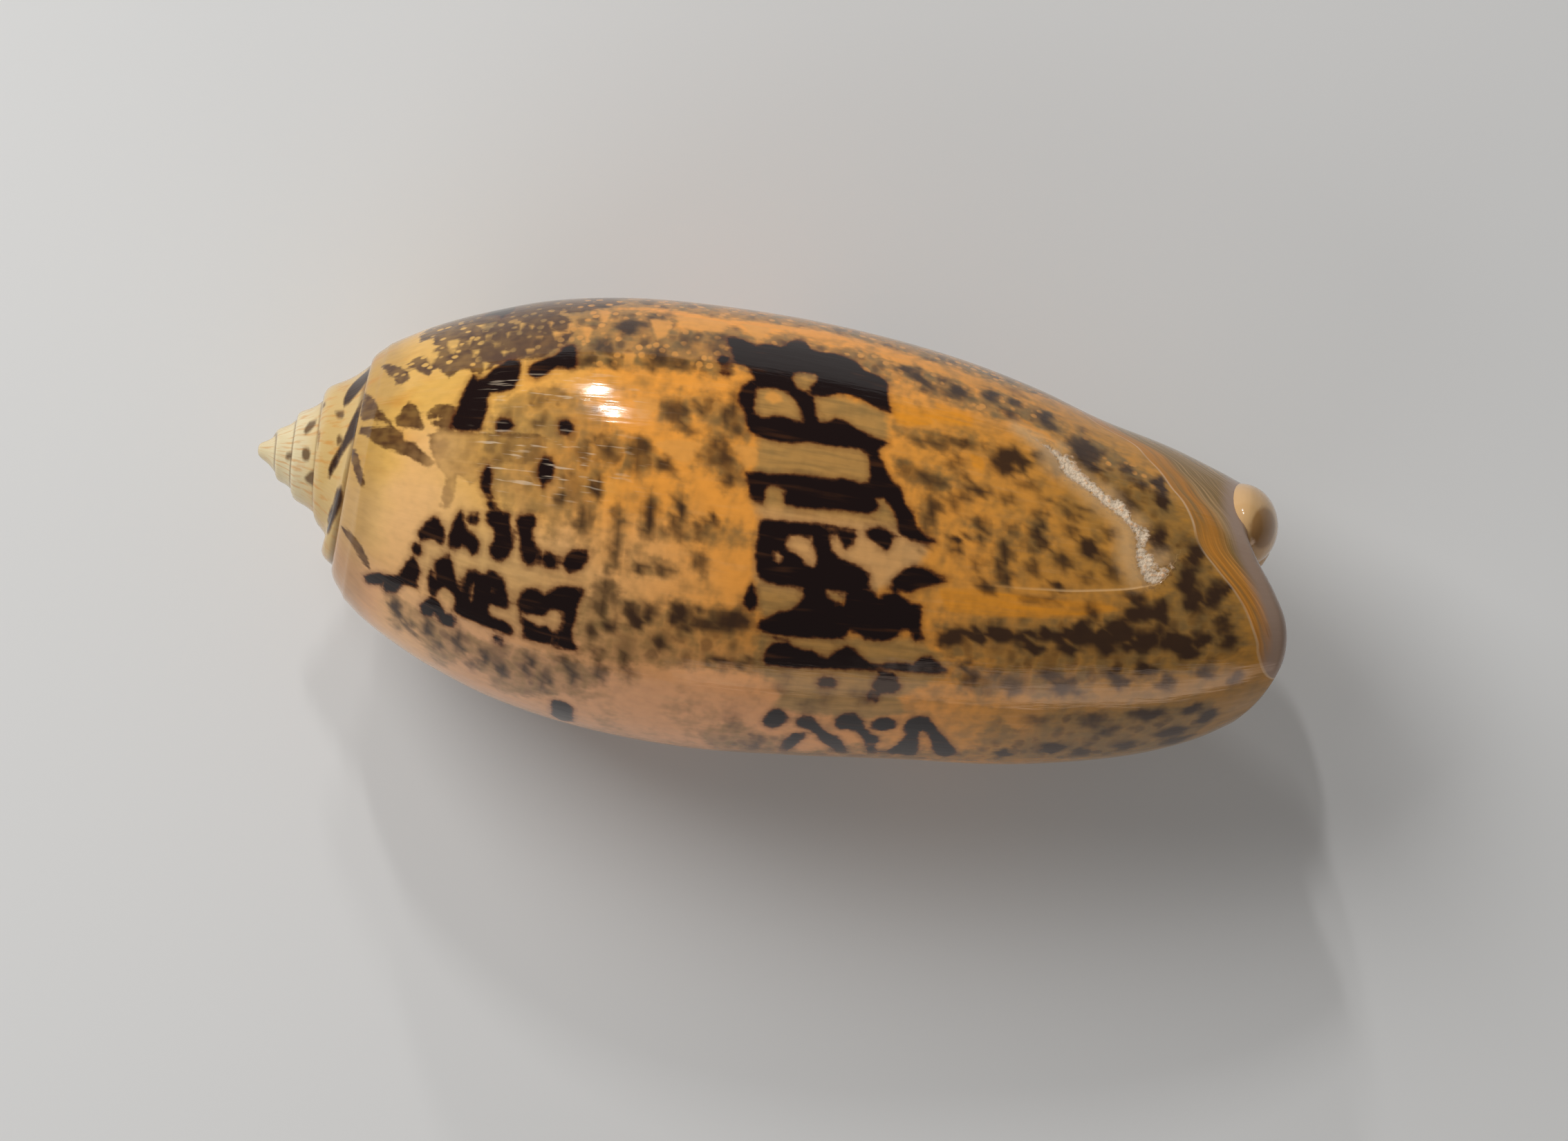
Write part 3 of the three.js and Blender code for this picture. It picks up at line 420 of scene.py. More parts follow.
    (55.8, 162.5, 0.6, 5, 0.6), (59, 166, 0.8, 5, 0.6), (10.2, 146, 0.25, 4, 0.6),
    (12.3, 147, 0.25, 4, 0.6), (13, 153, 0.3, 3, 0.5), (16, 148, 0.25, 4, 0.6),
    (17.2, 150, 0.25, 4, 0.6), (14.3, 146, 0.25, 5, 0.55), (18.8, 145, 0.25, 4.5, 0.6),
    (19.9, 150, 0.25, 5, 0.5), (21.6, 142, 0.3, 4, 0.55), (23.2, 140, 0.3, 4, 0.5),
    (11.2, 152, 0.25, 4, 0.45), (15.2, 155, 0.25, 4, 0.4), (24.9, 137, 0.3, 3, 0.45),
    (31.6, 150, 0.5, 5, 0.25), (33.2, 165, 0.3, 5, 0.5),
)


def mix(a: Numbers, b: Numbers, t: Numbers) -> Numbers:
    """Value between a and b at share t."""
    return a + (b - a) * t


def smooth(t: Numbers, low: float, high: float) -> np.ndarray:
    """Smooth step of t from 0 at low to 1 at high."""
    share = np.clip((np.asarray(t, float) - low) / (high - low), 0.0, 1.0)
    return share * share * (3.0 - 2.0 * share)


def eased(share: Numbers) -> Numbers:
    """Share of the way along that starts and ends slowly, as round a half circle."""
    return (1 - np.cos(np.pi * share)) / 2


def along(knots: Knots, t: Numbers, which: int = 1) -> np.ndarray:
    """Value of one column of knots on a smooth curve through them.

    Args:
        knots: Rows of a parameter and one or more values.
        t: Parameters to read the curve at.
        which: Column of the value.

    Returns:
        The values at t.
    """
    table = np.array(knots, float)
    t = np.asarray(t, float)
    last = len(table) - 1
    i = np.clip(np.searchsorted(table[:, 0], t, side="left") - 1, 0, last - 1)
    before = np.maximum(i - 1, 0)
    after = np.minimum(i + 2, last)
    x = table[:, 0]
    y = table[:, which]
    start = (y[i + 1] - y[before]) / (x[i + 1] - x[before])
    end = (y[after] - y[i]) / (x[after] - x[i])
    width = x[i + 1] - x[i]
    s = np.clip((t - x[i]) / width, 0.0, 1.0)
    s2 = s * s
    s3 = s2 * s
    from_start = (2 * s3 - 3 * s2 + 1) * y[i] + (s3 - 2 * s2 + s) * width * start
    return from_start + (3 * s2 - 2 * s3) * y[i + 1] + (s3 - s2) * width * end


def fraction_of(share: Numbers) -> np.ndarray:
    """Fraction of the way to the front margin at a share of the rows, closer at both ends."""
    share = np.asarray(share, float)
    return mix(share, eased(share), ROW_CROWDING)


@dataclass
class ShellForm:
    """Shape of the shell, in millimetres and degrees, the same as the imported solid's."""

    lip_wind: float = 232.5
    slit_depth: float = 180.0
    spire_turns: int = 4
    floor_depth: float = 11.55
    origin: Vector = (-32.3, 0.985, 11.55)
    shrink: float = 0.9983
    tip: Vector = (63.4, 3.4, 0.5)
    # Turns past the lip, distance along the axis and radius
    rim_knots: Knots = (
        (-4, 0, 0), (-3.64, 0.95, 0.95), (-3.14, 1.35, 1.5), (-2.64, 2.13, 2.12),
        (-2.14, 2.48, 2.35), (-1.64, 3.6, 3.5), (-1.14, 4.3, 3.8), (-0.64, 6.26, 6.13),
        (-0.39, 6.2, 6.4), (-0.14, 5.52, 6.56), (0, 5.2, 6.1),
    )
    # Fraction of the way to the front margin, radius at wind 0 and radius at wind 180
    body_knots: Knots = (
        (0, 7.55, 8.53), (0.02, 8.2, 9.42), (0.05, 9.08, 10.45), (0.1, 10.23, 11.82),
        (0.18, 11.65, 13.37), (0.28, 12.53, 14.39), (0.4, 12.75, 14.74), (0.52, 12.48, 14.3),
        (0.64, 11.65, 13.62), (0.74, 10.4, 13.15), (0.82, 9, 12.4), (0.9, 7.95, 11.27),
        (0.96, 6.9, 9.9), (1, 6.1, 8.5),
    )
    # Wind and distance along the axis
    margin_knots: Knots = (
        (-127.5, 60.5), (-60, 60.8), (0, 61.4), (40, 61), (55, 61.1), (75, 62.1), (90, 63.3),
        (105, 64.3), (120, 64.6), (135, 64.3), (165, 62.9), (180, 62.3), (205, 60.9),
        (222, 59.2), (232.5, 57.4),
    )
    # Body whorl: growth past half a turn, the dip where it starts, the thin leaning columella
    late_growth: float = 0.28
    dip_wind: float = -92.0
    dip_turn: float = 60.0
    dip_rows: float = 0.1
    dip_depth: float = 0.13
    thin_wind: float = -15.0
    thin_turn: float = 105.0
    thin_rows: float = 0.5
    thinning: float = 0.32
    lean: float = 2.4
    freeing_turn: float = 120.0
    shoulder_width: float = 1.0
    lift_fade: float = 2.5
    # Spire: swellings, with factors that bring their curves to a height of 1, and the cord
    early_lift: float = 0.12
    early_peak: float = 12.2
    late_lift: float = 0.2
    late_peak: float = 6.75
    cord_winds: Span = (45, 195)
    cord_share: float = 0.6
    cord_height: float = 0.42
    groove_width: float = 0.25
    groove_depth: float = 0.16
    # Wall of the last whorl and the slit behind the lip
    wall: float = 1.5
    lip_wall: float = 1.15
    lip_turn: float = 40.0
    margin_wall: float = 0.9
    margin_rows: float = 0.8
    lip_nose: float = 0.45
    edge_round: float = 0.4
    round_turn: float = 15.0
    crease: float = 0.04
    slit_slope: float = 0.45
    slit_least: float = 0.9

    @property
    def mouth_wind(self) -> float:
        """Wind one turn before the lip, where the body whorl starts."""
        return self.lip_wind - FULL_TURN

    @property
    def slit_wind(self) -> float:
        """Wind at the back of the slit."""
        return self.lip_wind - self.slit_depth

    def rim(self, wind: Numbers) -> tuple[np.ndarray, np.ndarray]:
        """Distance along the axis and radius of the rim of the whorl at a wind."""
        turns = (np.asarray(wind, float) - self.lip_wind) / FULL_TURN
        return along(self.rim_knots, turns, 1), np.maximum(along(self.rim_knots, turns, 2), 0)

    def columella(self, wind: Numbers, fraction: Numbers) -> np.ndarray:
        """How far a place belongs to the thin front of the columella, from 0 to 1."""
        turned = self.thin_wind - np.asarray(wind, float)
        return smooth(fraction, self.thin_rows, 1) * smooth(turned, 0, self.thin_turn)

    def body_radius(self, wind: Numbers, fraction: Numbers) -> np.ndarray:
        """Radius of the body whorl.

        Args:
            wind: Winds.
            fraction: Fractions of the way to the front margin.

        Returns:
            The radii.
        """
        wind = np.asarray(wind, float)
        upper = along(self.body_knots, fraction, 1)
        lower = along(self.body_knots, fraction, 2)
        growth = wind / HALF_TURN
        growth = np.where(growth > 1, 1 + (growth - 1) * self.late_growth, growth)
        dip = smooth(self.dip_wind - wind, 0, self.dip_turn) * smooth(fraction, 0, self.dip_rows)
        thin = self.thinning * self.columella(wind, fraction)
        return upper * (lower / upper) ** growth * (1 - self.dip_depth * dip - thin)

    def shoulder(self, wind: Numbers) -> tuple[np.ndarray, np.ndarray]:
        """Place where a whorl meets the one after it.

        Args:
            wind: Winds.

        Returns:
            Distances along the axis and radii.
        """
        wind = np.asarray(wind, float)
        suture_x, suture_r = self.rim(wind + FULL_TURN)
        rim_x, _ = self.rim(wind)
        free_r = self.body_radius(wind, np.zeros_like(wind))
        share = smooth(wind - self.mouth_wind, 0, self.freeing_turn)
        mouth_x, mouth_r = self.rim(self.lip_wind)
        inner = wind <= self.mouth_wind
        x = np.where(inner, suture_x, mix(mouth_x, rim_x + self.shoulder_width, share))
        return x, np.where(inner, suture_r, mix(mouth_r, free_r, share))

    def ring(self, wind: Numbers, fraction: Numbers) -> tuple[np.ndarray, ...]:
        """Place on the body whorl.

        Args:
            wind: Winds.
            fraction: Fractions of the way to the front margin.

        Returns:
            Distances along the axis, radii and sideways leans.
        """
        start_x, start_r = self.shoulder(wind)
        x = mix(start_x, along(self.margin_knots, wind), fraction)
        lift = start_r - self.body_radius(wind, np.zeros_like(x))
        radius = self.body_radius(wind, fraction) + lift * np.exp((start_x - x) / self.lift_fade)
        return x, radius, self.lean * self.columella(wind, fraction)

    def spire(self, wind: Numbers, share: Numbers) -> tuple[np.ndarray, np.ndarray]:
        """Place between the rim and the shoulder.

        Args:
            wind: Winds.
            share: Shares of the way from the rim to the shoulder.

        Returns:
            Distances along the axis and radii.
        """
        upper_x, upper_r = self.rim(wind)
        lower_x, lower_r = self.shoulder(wind)
        rise = lower_x - upper_x
        spread = lower_r - upper_r
        slant = np.maximum(np.hypot(rise, spread), 1e-6)
        on_body = smooth(wind - self.mouth_wind, 0, self.freeing_turn)
        cord = smooth(wind + FULL_TURN, *self.cord_winds) * (1 - on_body)
        edge = 1 - self.cord_share * cord
        part = np.minimum(share / edge, 1)
        early = self.early_lift * slant * edge * self.early_peak * part * (1 - part) ** 4
        late = self.late_lift * self.late_peak * share * (1 - share) ** 2
        across = np.maximum(share - edge, 0) / np.where(cord > 0, 1 - edge, 1)
        beside = np.maximum(1 - np.abs(share - edge) / self.groove_width, 0)
        groove = self.groove_depth * beside * smooth(1 - share, 0, self.groove_width)
        raised = cord * (self.cord_height * np.sin(np.pi * across) - groove)
        lift = mix(early, late, on_body) + raised
        x = mix(upper_x, lower_x, share) - lift * spread / slant
        return x, mix(upper_r, lower_r, share) + lift * rise / slant

    def girth(self, wind: float, x: float) -> float:
        """Radius of the shell at one place.

        Args:
            wind: Its wind.
            x: Its distance along the axis.

        Returns:
            The radius.
        """
        at = np.array([wind])
        if wind < self.mouth_wind:
            return float(self.rim(at)[1][0])
        start, _ = self.shoulder(at)
        end = along(self.margin_knots, at)
        fraction = np.clip((x - start) / (end - start), 0, 1)
        return float(self.ring(at, fraction)[1][0])

    def place(self, wind: Numbers, x: Numbers, radius: np.ndarray,
              lean: Numbers = 0.0) -> np.ndarray:
        """Points of the shell, none of them under the floor.

        Args:
            wind: Winds.
            x: Distances along the axis.
            radius: Radii.
            lean: Sideways leans.

        Returns:
            A row of three coordinates for each point.
        """
        turn = np.radians(wind)
        z = np.maximum(radius * np.sin(turn), -self.floor_depth)
        return np.stack([x + 0 * radius, radius * np.cos(turn) + lean, z], -1)

    def rounding(self, wind: Numbers, x: Numbers) -> np.ndarray:
        """How far the front edge of the wall is rounded back.

        Args:
            wind: Winds.
            x: Distances along the axis.

        Returns:
            The distances that the wall gives way.
        """
        full = self.edge_round
        gap = np.clip(along(self.margin_knots, wind) - x, 0, full)
        back = full - np.sqrt(np.maximum(full**2 - (full - gap) ** 2, 0))
        return back * smooth(wind, self.slit_wind, self.slit_wind + self.round_turn)

    def outer(self, wind: Numbers, fraction: Numbers) -> np.ndarray:
        """Points on the outside of the body whorl."""
        x, radius, lean = self.ring(wind, fraction)
        return self.place(wind, x, radius - self.rounding(wind, x), lean)

    def parietal(self, wind: Numbers, fraction: Numbers) -> np.ndarray:
        """Points on the whorl before, inside the slit, under a wind of the body whorl."""
        x, radius, lean = self.ring(wind - FULL_TURN, fraction)
        return self.place(wind, x, radius, lean)

    def inner(self, wind: Numbers, fraction: np.ndarray) -> np.ndarray:
        """Points on the inside of the body whorl over the slit.

        Args:
            wind: Winds.
            fraction: Fractions of the way to the front margin.

        Returns:
            The points.
        """
        crease = fraction_of(self.crease)
        outer_x, outer_r, _ = self.ring(wind, fraction)
        _, floor_r, _ = self.ring(wind - FULL_TURN, fraction)
        near_lip = smooth(wind, self.lip_wind - self.lip_turn, self.lip_wind)
        near_margin = smooth(fraction, self.margin_rows, 1)
        wall = mix(mix(self.wall, self.lip_wall, near_lip), self.margin_wall, near_margin)
        crease_x, _, _ = self.ring(wind, np.full_like(outer_x, crease))
        room = np.maximum(outer_r - wall - floor_r, self.slit_least)
        width = np.minimum(room, self.slit_slope * (outer_x - crease_x))
        points = self.place(wind, outer_x, floor_r + width + self.rounding(wind, outer_x))
        folded = np.asarray(fraction <= crease + 1e-9)[..., None]
        return np.where(folded, self.parietal(wind, fraction), points)


@dataclass
class Chart:
    """Where the points of a sheet lie on the shell."""

    x: np.ndarray
    wind: np.ndarray
    spire: Numbers = 0.0
    inside: Numbers = 0.0
    tip: Numbers = 0.0


@dataclass
class Markings:
    """Where the markings lie, from their outlines. Lengths are in millimetres."""

    form: ShellForm
    far: float = 3.0
    # Outlines near the apex are measured along the slant of the spire
    slant: float = 0.6
    spire_end: float = 11.0
    spire_fade: float = 4.0
    brink_shift: Span = (0.8, 1.5)
    wander: float = 0.12
    spot_least: float = 0.34
    front_spot_least: float = 0.5
    front_from: float = 56.0
    spot_growth: float = 1.25
    spot_fade: Span = (0.3, 1.5)
    # The seen markings give way past the folds to copies that are moved along and round
    top_fold: float = 4.0
    low_fold: float = 176.0
    fold_stretch: float = 1.6
    top_fade: Span = (2, 14)
    low_fade: Span = (4, 14)
    top_copy: Span = (-1.4, 131)
    top_copy_fade: Span = (8, 18)
    low_copy: Span = (1.3, -84)
    low_copy_fade: Span = (6, 14)
    # Wind and distance along the axis of the line before the front band
    fasciole: Knots = (
        (-127.5, 43), (-60, 46.5), (0, 49.6), (21, 50.98), (30, 53.63), (38, 54.57), (44, 55.43),
        (51.5, 56.24), (57, 57.04), (65, 57.72), (76, 58.32), (85, 59.61), (92.5, 60.79),
        (100.5, 61.72), (113, 62.69), (118, 62.87), (130, 63.7), (140, 65), (232.5, 66),
    )
    # Distance along the axis and wind of the growth line that runs to the scar
    rest: Knots = (
        (40, 100.3), (47.9, 100), (49.3, 99.6), (50.7, 99.3), (52.1, 98.5), (53.5, 97.5),
        (54.5, 96.5), (55.4, 95), (56.2, 93.5), (56.6, 90.5), (56.9, 86), (57.1, 80),
    )

    def inside(self, outline: Outline, x: np.ndarray, wind: np.ndarray) -> np.ndarray:
        """Signed distance inside one outline.

        Args:
            outline: Its corners.
            x: Distances along the axis.
            wind: Winds.

        Returns:
            Millimetres inside the outline, negative outside and never under minus far.
        """
        corners = np.array(outline, float).reshape(-1, 2)
        middle = corners.mean(axis=0)
        steep = float(smooth(self.spire_end - middle[0], 0, self.spire_fade))
        per_degree = math.radians(1) * self.form.girth(middle[1], middle[0])
        scale = np.array([1 + self.slant * steep, per_degree])
        result = np.full(len(x), -self.far)
        low = corners.min(axis=0) - self.far / scale
        high = corners.max(axis=0) + self.far / scale
        near = (x > low[0]) & (x < high[0]) & (wind > low[1]) & (wind < high[1])
        points = np.stack([x[near], wind[near]], -1) * scale
        if not len(points):
            return result
        distance = np.full(len(points), np.inf)
        odd = np.zeros(len(points), bool)
        for a, b in zip(corners * scale, np.roll(corners, -1, axis=0) * scale):
            side = b - a
            share = np.clip((points - a) @ side / max(side @ side, 1e-12), 0, 1)
            distance = np.minimum(distance, np.hypot(*(points - a - share[:, None] * side).T))
            crosses = (a[1] > points[:, 1]) != (b[1] > points[:, 1])
            rise = side[1] if side[1] != 0 else 1e-12
            odd ^= crosses & (points[:, 0] < a[0] + (points[:, 1] - a[1]) * side[0] / rise)
        result[near] = np.maximum(np.where(odd, distance, -distance), -self.far)
        return result

    def layer(self, layer: Layer, x: np.ndarray, wind: np.ndarray) -> np.ndarray:
        """Signed distance inside all the outlines of a layer, less its holes.

        Args:
            layer: The kind of marking.
            x: Distances along the axis.
            wind: Winds.

        Returns:
            Millimetres inside, never under minus far.
        """
        result = np.full(len(x), -self.far)
        for outline in OUTLINES[layer]:
            result = np.maximum(result, self.inside(outline, x, wind))
        for hole in HOLES.get(layer, ()):
            result = np.minimum(result, -self.inside(hole, x, wind))
        return result

    def spots(self, x: np.ndarray, wind: np.ndarray) -> np.ndarray:
        """Strength of the blurred spots, whose edges two pairs of sine waves make uneven.

        Args:
            x: Distances along the axis.
            wind: Winds.

        Returns:
            Strengths from 0 to 1.
        """
        arc = wind * DEGREE
        wave_x = self.wander * (np.sin(3.1 * arc + 1.3 * x) + np.sin(5.3 * arc + 2.1))
        wave_arc = self.wander * (np.sin(2.9 * x + 0.9 * arc) + np.sin(5.7 * x + 0.7))
        result = np.zeros(len(x))
        for spot_x, spot_wind, half_x, half_wind, strength in SPOTS:
            least = self.spot_least if spot_x < self.front_from else self.front_spot_least
            off_x = (x + wave_x - spot_x) / max(half_x, least)
            off_wind = (wind + wave_arc / DEGREE - spot_wind) / half_wind
            off = np.hypot(off_x, off_wind) / self.spot_growth
            result = np.maximum(result, strength * (1 - smooth(off, *self.spot_fade)))
        return result

    def copies(self, x: np.ndarray, wind: np.ndarray) -> list[tuple[np.ndarray, ...]]:
        """Chart places whose markings are repeated on the sides away from the camera.

        Args:
            x: Distances along the axis.
            wind: Winds.

        Returns:
            Distances, winds and how far each copy has faded, from 0 to 1.
        """
        before = np.maximum(self.top_fold - wind, 0) * (wind >= self.form.mouth_wind)
        after = np.maximum(wind - self.low_fold, 0)
        near = smooth(before, *self.top_fade) + smooth(after, *self.low_fade)
        folded = wind + self.fold_stretch * before - self.fold_stretch * after
        top_x, top_turn = self.top_copy
        low_x, low_turn = self.low_copy
        return [
            (x, folded, near),
            (x + top_x, wind + top_turn, 1 - smooth(before, *self.top_copy_fade)),
            (x + low_x, wind + low_turn, 1 - smooth(after, *self.low_copy_fade)),
        ]

    def values(self, chart: Chart) -> dict[str, np.ndarray]:
        """Everything the surface needs to know at the points of a sheet.

        Args:
            chart: Where the points lie.

        Returns:
            Values of the points by name.
        """
        x = chart.x + 0 * chart.wind
        wind = chart.wind + 0 * x
        copies = self.copies(x, wind)
        values = {}
        for layer in Layer:
            shown = [self.layer(layer, *at) - 2 * self.far * faded for *at, faded in copies]
            values[layer.value] = np.maximum(np.max(shown, axis=0), -self.far)
        brink_x, brink_wind = self.brink_shift
        values[Layer.SCAR.value] = self.layer(Layer.SCAR, x, wind)
        values["brink"] = self.layer(Layer.SCAR, x + brink_x, wind + brink_wind)
        values["spots"] = np.max([self.spots(*at) * (1 - faded) for *at, faded in copies], axis=0)
        values["along"] = x
        values["wind"] = wind
        values["suture"] = x - self.form.shoulder(wind)[0]
        values["front"] = x - along(self.fasciole, wind)
        values["gap"] = along(self.form.margin_knots, wind) - x
        values["rest"] = (wind - along(self.rest, x)) * DEGREE
        for name in ("spire", "inside", "tip"):
            values[name] = getattr(chart, name) + 0 * x
        return values


Sheet = tuple[np.ndarray, Chart]
Shape = Callable[[np.ndarray, np.ndarray], Sheet]


@dataclass
class OliveShell:
    """The whole shell as one closed mesh.

    It is made of sheets whose edges meet. The shape of a sheet takes two shares for each of its
    points, u and v, and returns the points and where they lie. Lengths are in millimetres, but
    for those marked.
    """

    form: ShellForm = field(default_factory=ShellForm)
    wind_step: float = 1.5
    spire_rows: int = 12
    body_rows: int = 150
    nose_columns: int = 8
    tip_rings: int = 8
    apex_radius: float = 0.05
    callus_winds: Span = (66, 96)
    callus_along: Span = (9, 14)
    # Free tip of the columella, and the brown oval on it
    lobe_columns: int = 48
    lobe_rows: int = 24
    lobe_at: Vector = (61.2, 3.75, 1.3)
    lobe_size: Vector = (2.25, 2.6, 4.4)
    lobe_lean: float = -12.0
    oval_at: Span = (62.3, 3.7)
    oval_size: Span = (0.8, 1.25)
    oval_fade: Span = (0.75, 1.25)
    scar_depth: float = 0.2
    scar_fade: Span = (-0.15, 0.3)
    # Distance in metres under which points are merged, and the sharpest smooth edge in degrees
    merge: float = 1e-7
    smooth_angle: float = 40.0

    @property
    def markings(self) -> Markings:
        """Markings laid out on the form."""
        return Markings(self.form)

    @property
    def all_rows(self) -> int:
        """Rows from the rim to the front margin."""
        return self.spire_rows + self.body_rows

    @property
    def loop_columns(self) -> int:
        """Columns round the front of the columella, there and back along the slit."""
        return 2 * self.columns(self.form.slit_depth) + self.nose_columns + 1

    def columns(self, turn: float) -> int:
        """Number of columns over a range of winds."""
        return round(abs(turn) / self.wind_step)

    def sheet(self, columns: int, rows: int, shape: Shape) -> bpy.types.Object:
        """Adds a grid and bends it into one sheet of the shell.

        Args:
            columns: Faces along the wind.
            rows: Faces from the suture towards the front.
            shape: Function of the two shares that returns points and where they lie.

        Returns:
            The sheet as an object.
        """
        bpy.ops.object.select_all(action="DESELECT")
        bpy.ops.mesh.primitive_grid_add(x_subdivisions=columns, y_subdivisions=rows, size=1)
        sheet = bpy.context.object
        mesh = sheet.data
        flat = np.empty(len(mesh.vertices) * 3)
        mesh.vertices.foreach_get("co", flat)
        grid = flat.reshape(-1, 3)
        u = np.rint((grid[:, 0] + 0.5) * columns) / columns
        v = np.rint((grid[:, 1] + 0.5) * rows) / rows
        points, chart = shape(u, v)
        place = (points + np.array(self.form.origin)) * self.form.shrink * MM
        mesh.vertices.foreach_set("co", place.ravel())
        corners = np.empty(len(mesh.loops), int)
        mesh.loops.foreach_get("vertex_index", corners)
        for name, value in self.markings.values(chart).items():
            layer = mesh.attributes.new(name, "FLOAT", "CORNER")
            layer.data.foreach_set("value", value[corners].astype(np.float32))
        mesh.update()
        return sheet

    def scar(self, x: np.ndarray, wind: np.ndarray) -> np.ndarray:
        """Depth of the rough groove that the scar leaves.

        Args:
            x: Distances along the axis.
            wind: Winds.

        Returns:
            Depths in millimetres.
        """
        arc = wind * DEGREE
        rough = 0.7 + 0.3 * np.sin(7.3 * x + 2.1 * arc) * np.sin(6.1 * arc - 1.7 * x)
        inside = self.markings.layer(Layer.SCAR, x, wind)
        return self.scar_depth * rough * smooth(inside, *self.scar_fade)

    def slit(self, u: np.ndarray, v: np.ndarray) -> tuple[np.ndarray, np.ndarray]:
        """Winds and fractions of the way to the front margin, inside the slit."""
        wind = mix(self.form.slit_wind, self.form.lip_wind, u)
        return wind, fraction_of(mix(self.form.crease, 1.0, v))

    def spire(self, u: np.ndarray, v: np.ndarray) -> Sheet:
        """Shape of the old whorls, drawn together at the apex.

        Args:
            u: Shares of the way along the wind.
            v: Shares of the way from the rim to the shoulder.

        Returns:
            The points and where they lie.
        """
        form = self.form
        wind = mix(form.mouth_wind - form.spire_turns * FULL_TURN, form.mouth_wind, u)
        x, radius = form.spire(wind, v)
        closest = np.where(v > 0, form.shoulder(wind)[1], form.rim(wind)[1])
        clear = closest > self.apex_radius
        return form.place(wind, x * clear, radius * clear), Chart(x, wind, spire=1 + v)

    def ramp(self, u: np.ndarray, v: np.ndarray) -> Sheet:
        """Shape of the last whorl between its rim and its shoulder.

        Args:
            u: Shares of the way along the wind.
            v: Shares of the way from the rim to the shoulder.

        Returns:
            The points and where they lie.
        """
        wind = mix(self.form.mouth_wind, self.form.lip_wind, u)
        x, radius = self.form.spire(wind, v)
        return self.form.place(wind, x, radius), Chart(x, wind)

    def body(self, u: np.ndarray, v: np.ndarray) -> Sheet:
        """Shape of the body whorl, with the groove of the scar.

        Args:
            u: Shares of the way along the wind.
            v: Shares of the way to the front.

        Returns:
            The points and where they lie.
        """
        wind = mix(self.form.mouth_wind, self.form.lip_wind, u)
        fraction = fraction_of(v)
        x, radius, _ = self.form.ring(wind, fraction)
        callus = smooth(-wind, *self.callus_winds) * smooth(x, *self.callus_along)
        points = self.form.outer(wind, fraction)
        points[:, 1:] *= (1 - self.scar(x, wind) / radius)[:, None]
        return points, Chart(x, wind, inside=callus)

    def nose(self, u: np.ndarray, v: np.ndarray) -> Sheet:
        """Shape of the rounded edge of the lip.

        Args:
            u: Shares of the way from the outside to the inside.
            v: Shares of the way to the front.

        Returns:
            The points and where they lie.
        """
        form = self.form
        row = np.rint(v * self.all_rows)
        lip = np.full_like(v, form.lip_wind)
        share = np.clip(row - self.spire_rows, 0, None) / self.body_rows
        x, radius = form.spire(lip, np.minimum(row / self.spire_rows, 1))
        on_body = (row > self.spire_rows)[:, None]
        outer = np.where(on_body, form.outer(lip, fraction_of(share)), form.place(lip, x, radius))
        inner = form.inner(lip, fraction_of(share))
        turn = math.radians(form.lip_wind)
        ahead = np.array([0.0, -math.sin(turn), math.cos(turn)])
        thick = np.minimum(np.linalg.norm(outer - inner, axis=1), form.lip_wall)
        swell = (form.lip_nose * thick * np.sin(np.pi * u))[:, None] * ahead
        point = mix(outer, inner, eased(u)[:, None]) + swell
        point[:, 2] = np.maximum(point[:, 2], -form.floor_depth)
        return point, Chart(outer[:, 0], lip, inside=smooth(u, 0, 0.5))

    def inner(self, u: np.ndarray, v: np.ndarray) -> Sheet:
        """Shape of the inside of the last whorl's wall.

        Args:
            u: Shares of the way along the slit.
            v: Shares of the way to the front.

        Returns:
            The points and where they lie.
        """
        wind, fraction = self.slit(u, v)
        points = self.form.inner(wind, fraction)
        return points, Chart(points[:, 0], wind, inside=1.0)

    def parietal(self, u: np.ndarray, v: np.ndarray) -> Sheet:
        """Shape of the whorl before, under the slit.

        Args:
            u: Shares of the way along the slit.
            v: Shares of the way to the front.

        Returns:
            The points and where they lie.
        """
        wind, fraction = self.slit(u, v)
        points = self.form.parietal(wind, fraction)
        return points, Chart(points[:, 0], wind - FULL_TURN, inside=1.0)

    def back(self, u: np.ndarray, v: np.ndarray) -> Sheet:
        """Shape of the back of the slit.

        Args:
            u: Shares of the way from the wall to the whorl before.
            v: Shares of the way to the front.

        Returns:
            The points and where they lie.
        """
        wind, fraction = self.slit(0 * u, v)
        wall = self.form.inner(wind, fraction)
        points = mix(wall, self.form.parietal(wind, fraction), u[:, None])
        return points, Chart(points[:, 0], wind, inside=1.0)

    def edge(self, u: np.ndarray, v: np.ndarray) -> Sheet:
        """Shape of the front edge of the wall, which ends in the nose of the lip.

        Args:
            u: Shares of the way along the slit.
            v: Shares of the way from the outside to the inside.

        Returns:
            The points and where they lie.
        """
        one = np.ones_like(u)
        wind, _ = self.slit(u, one)
        flat = mix(self.form.outer(wind, one), self.form.inner(wind, one), eased(v)[:, None])
        points = np.where((u == 1)[:, None], self.nose(v, one)[0], flat)
        return points, Chart(points[:, 0], wind, inside=smooth(v, 0, 0.6))

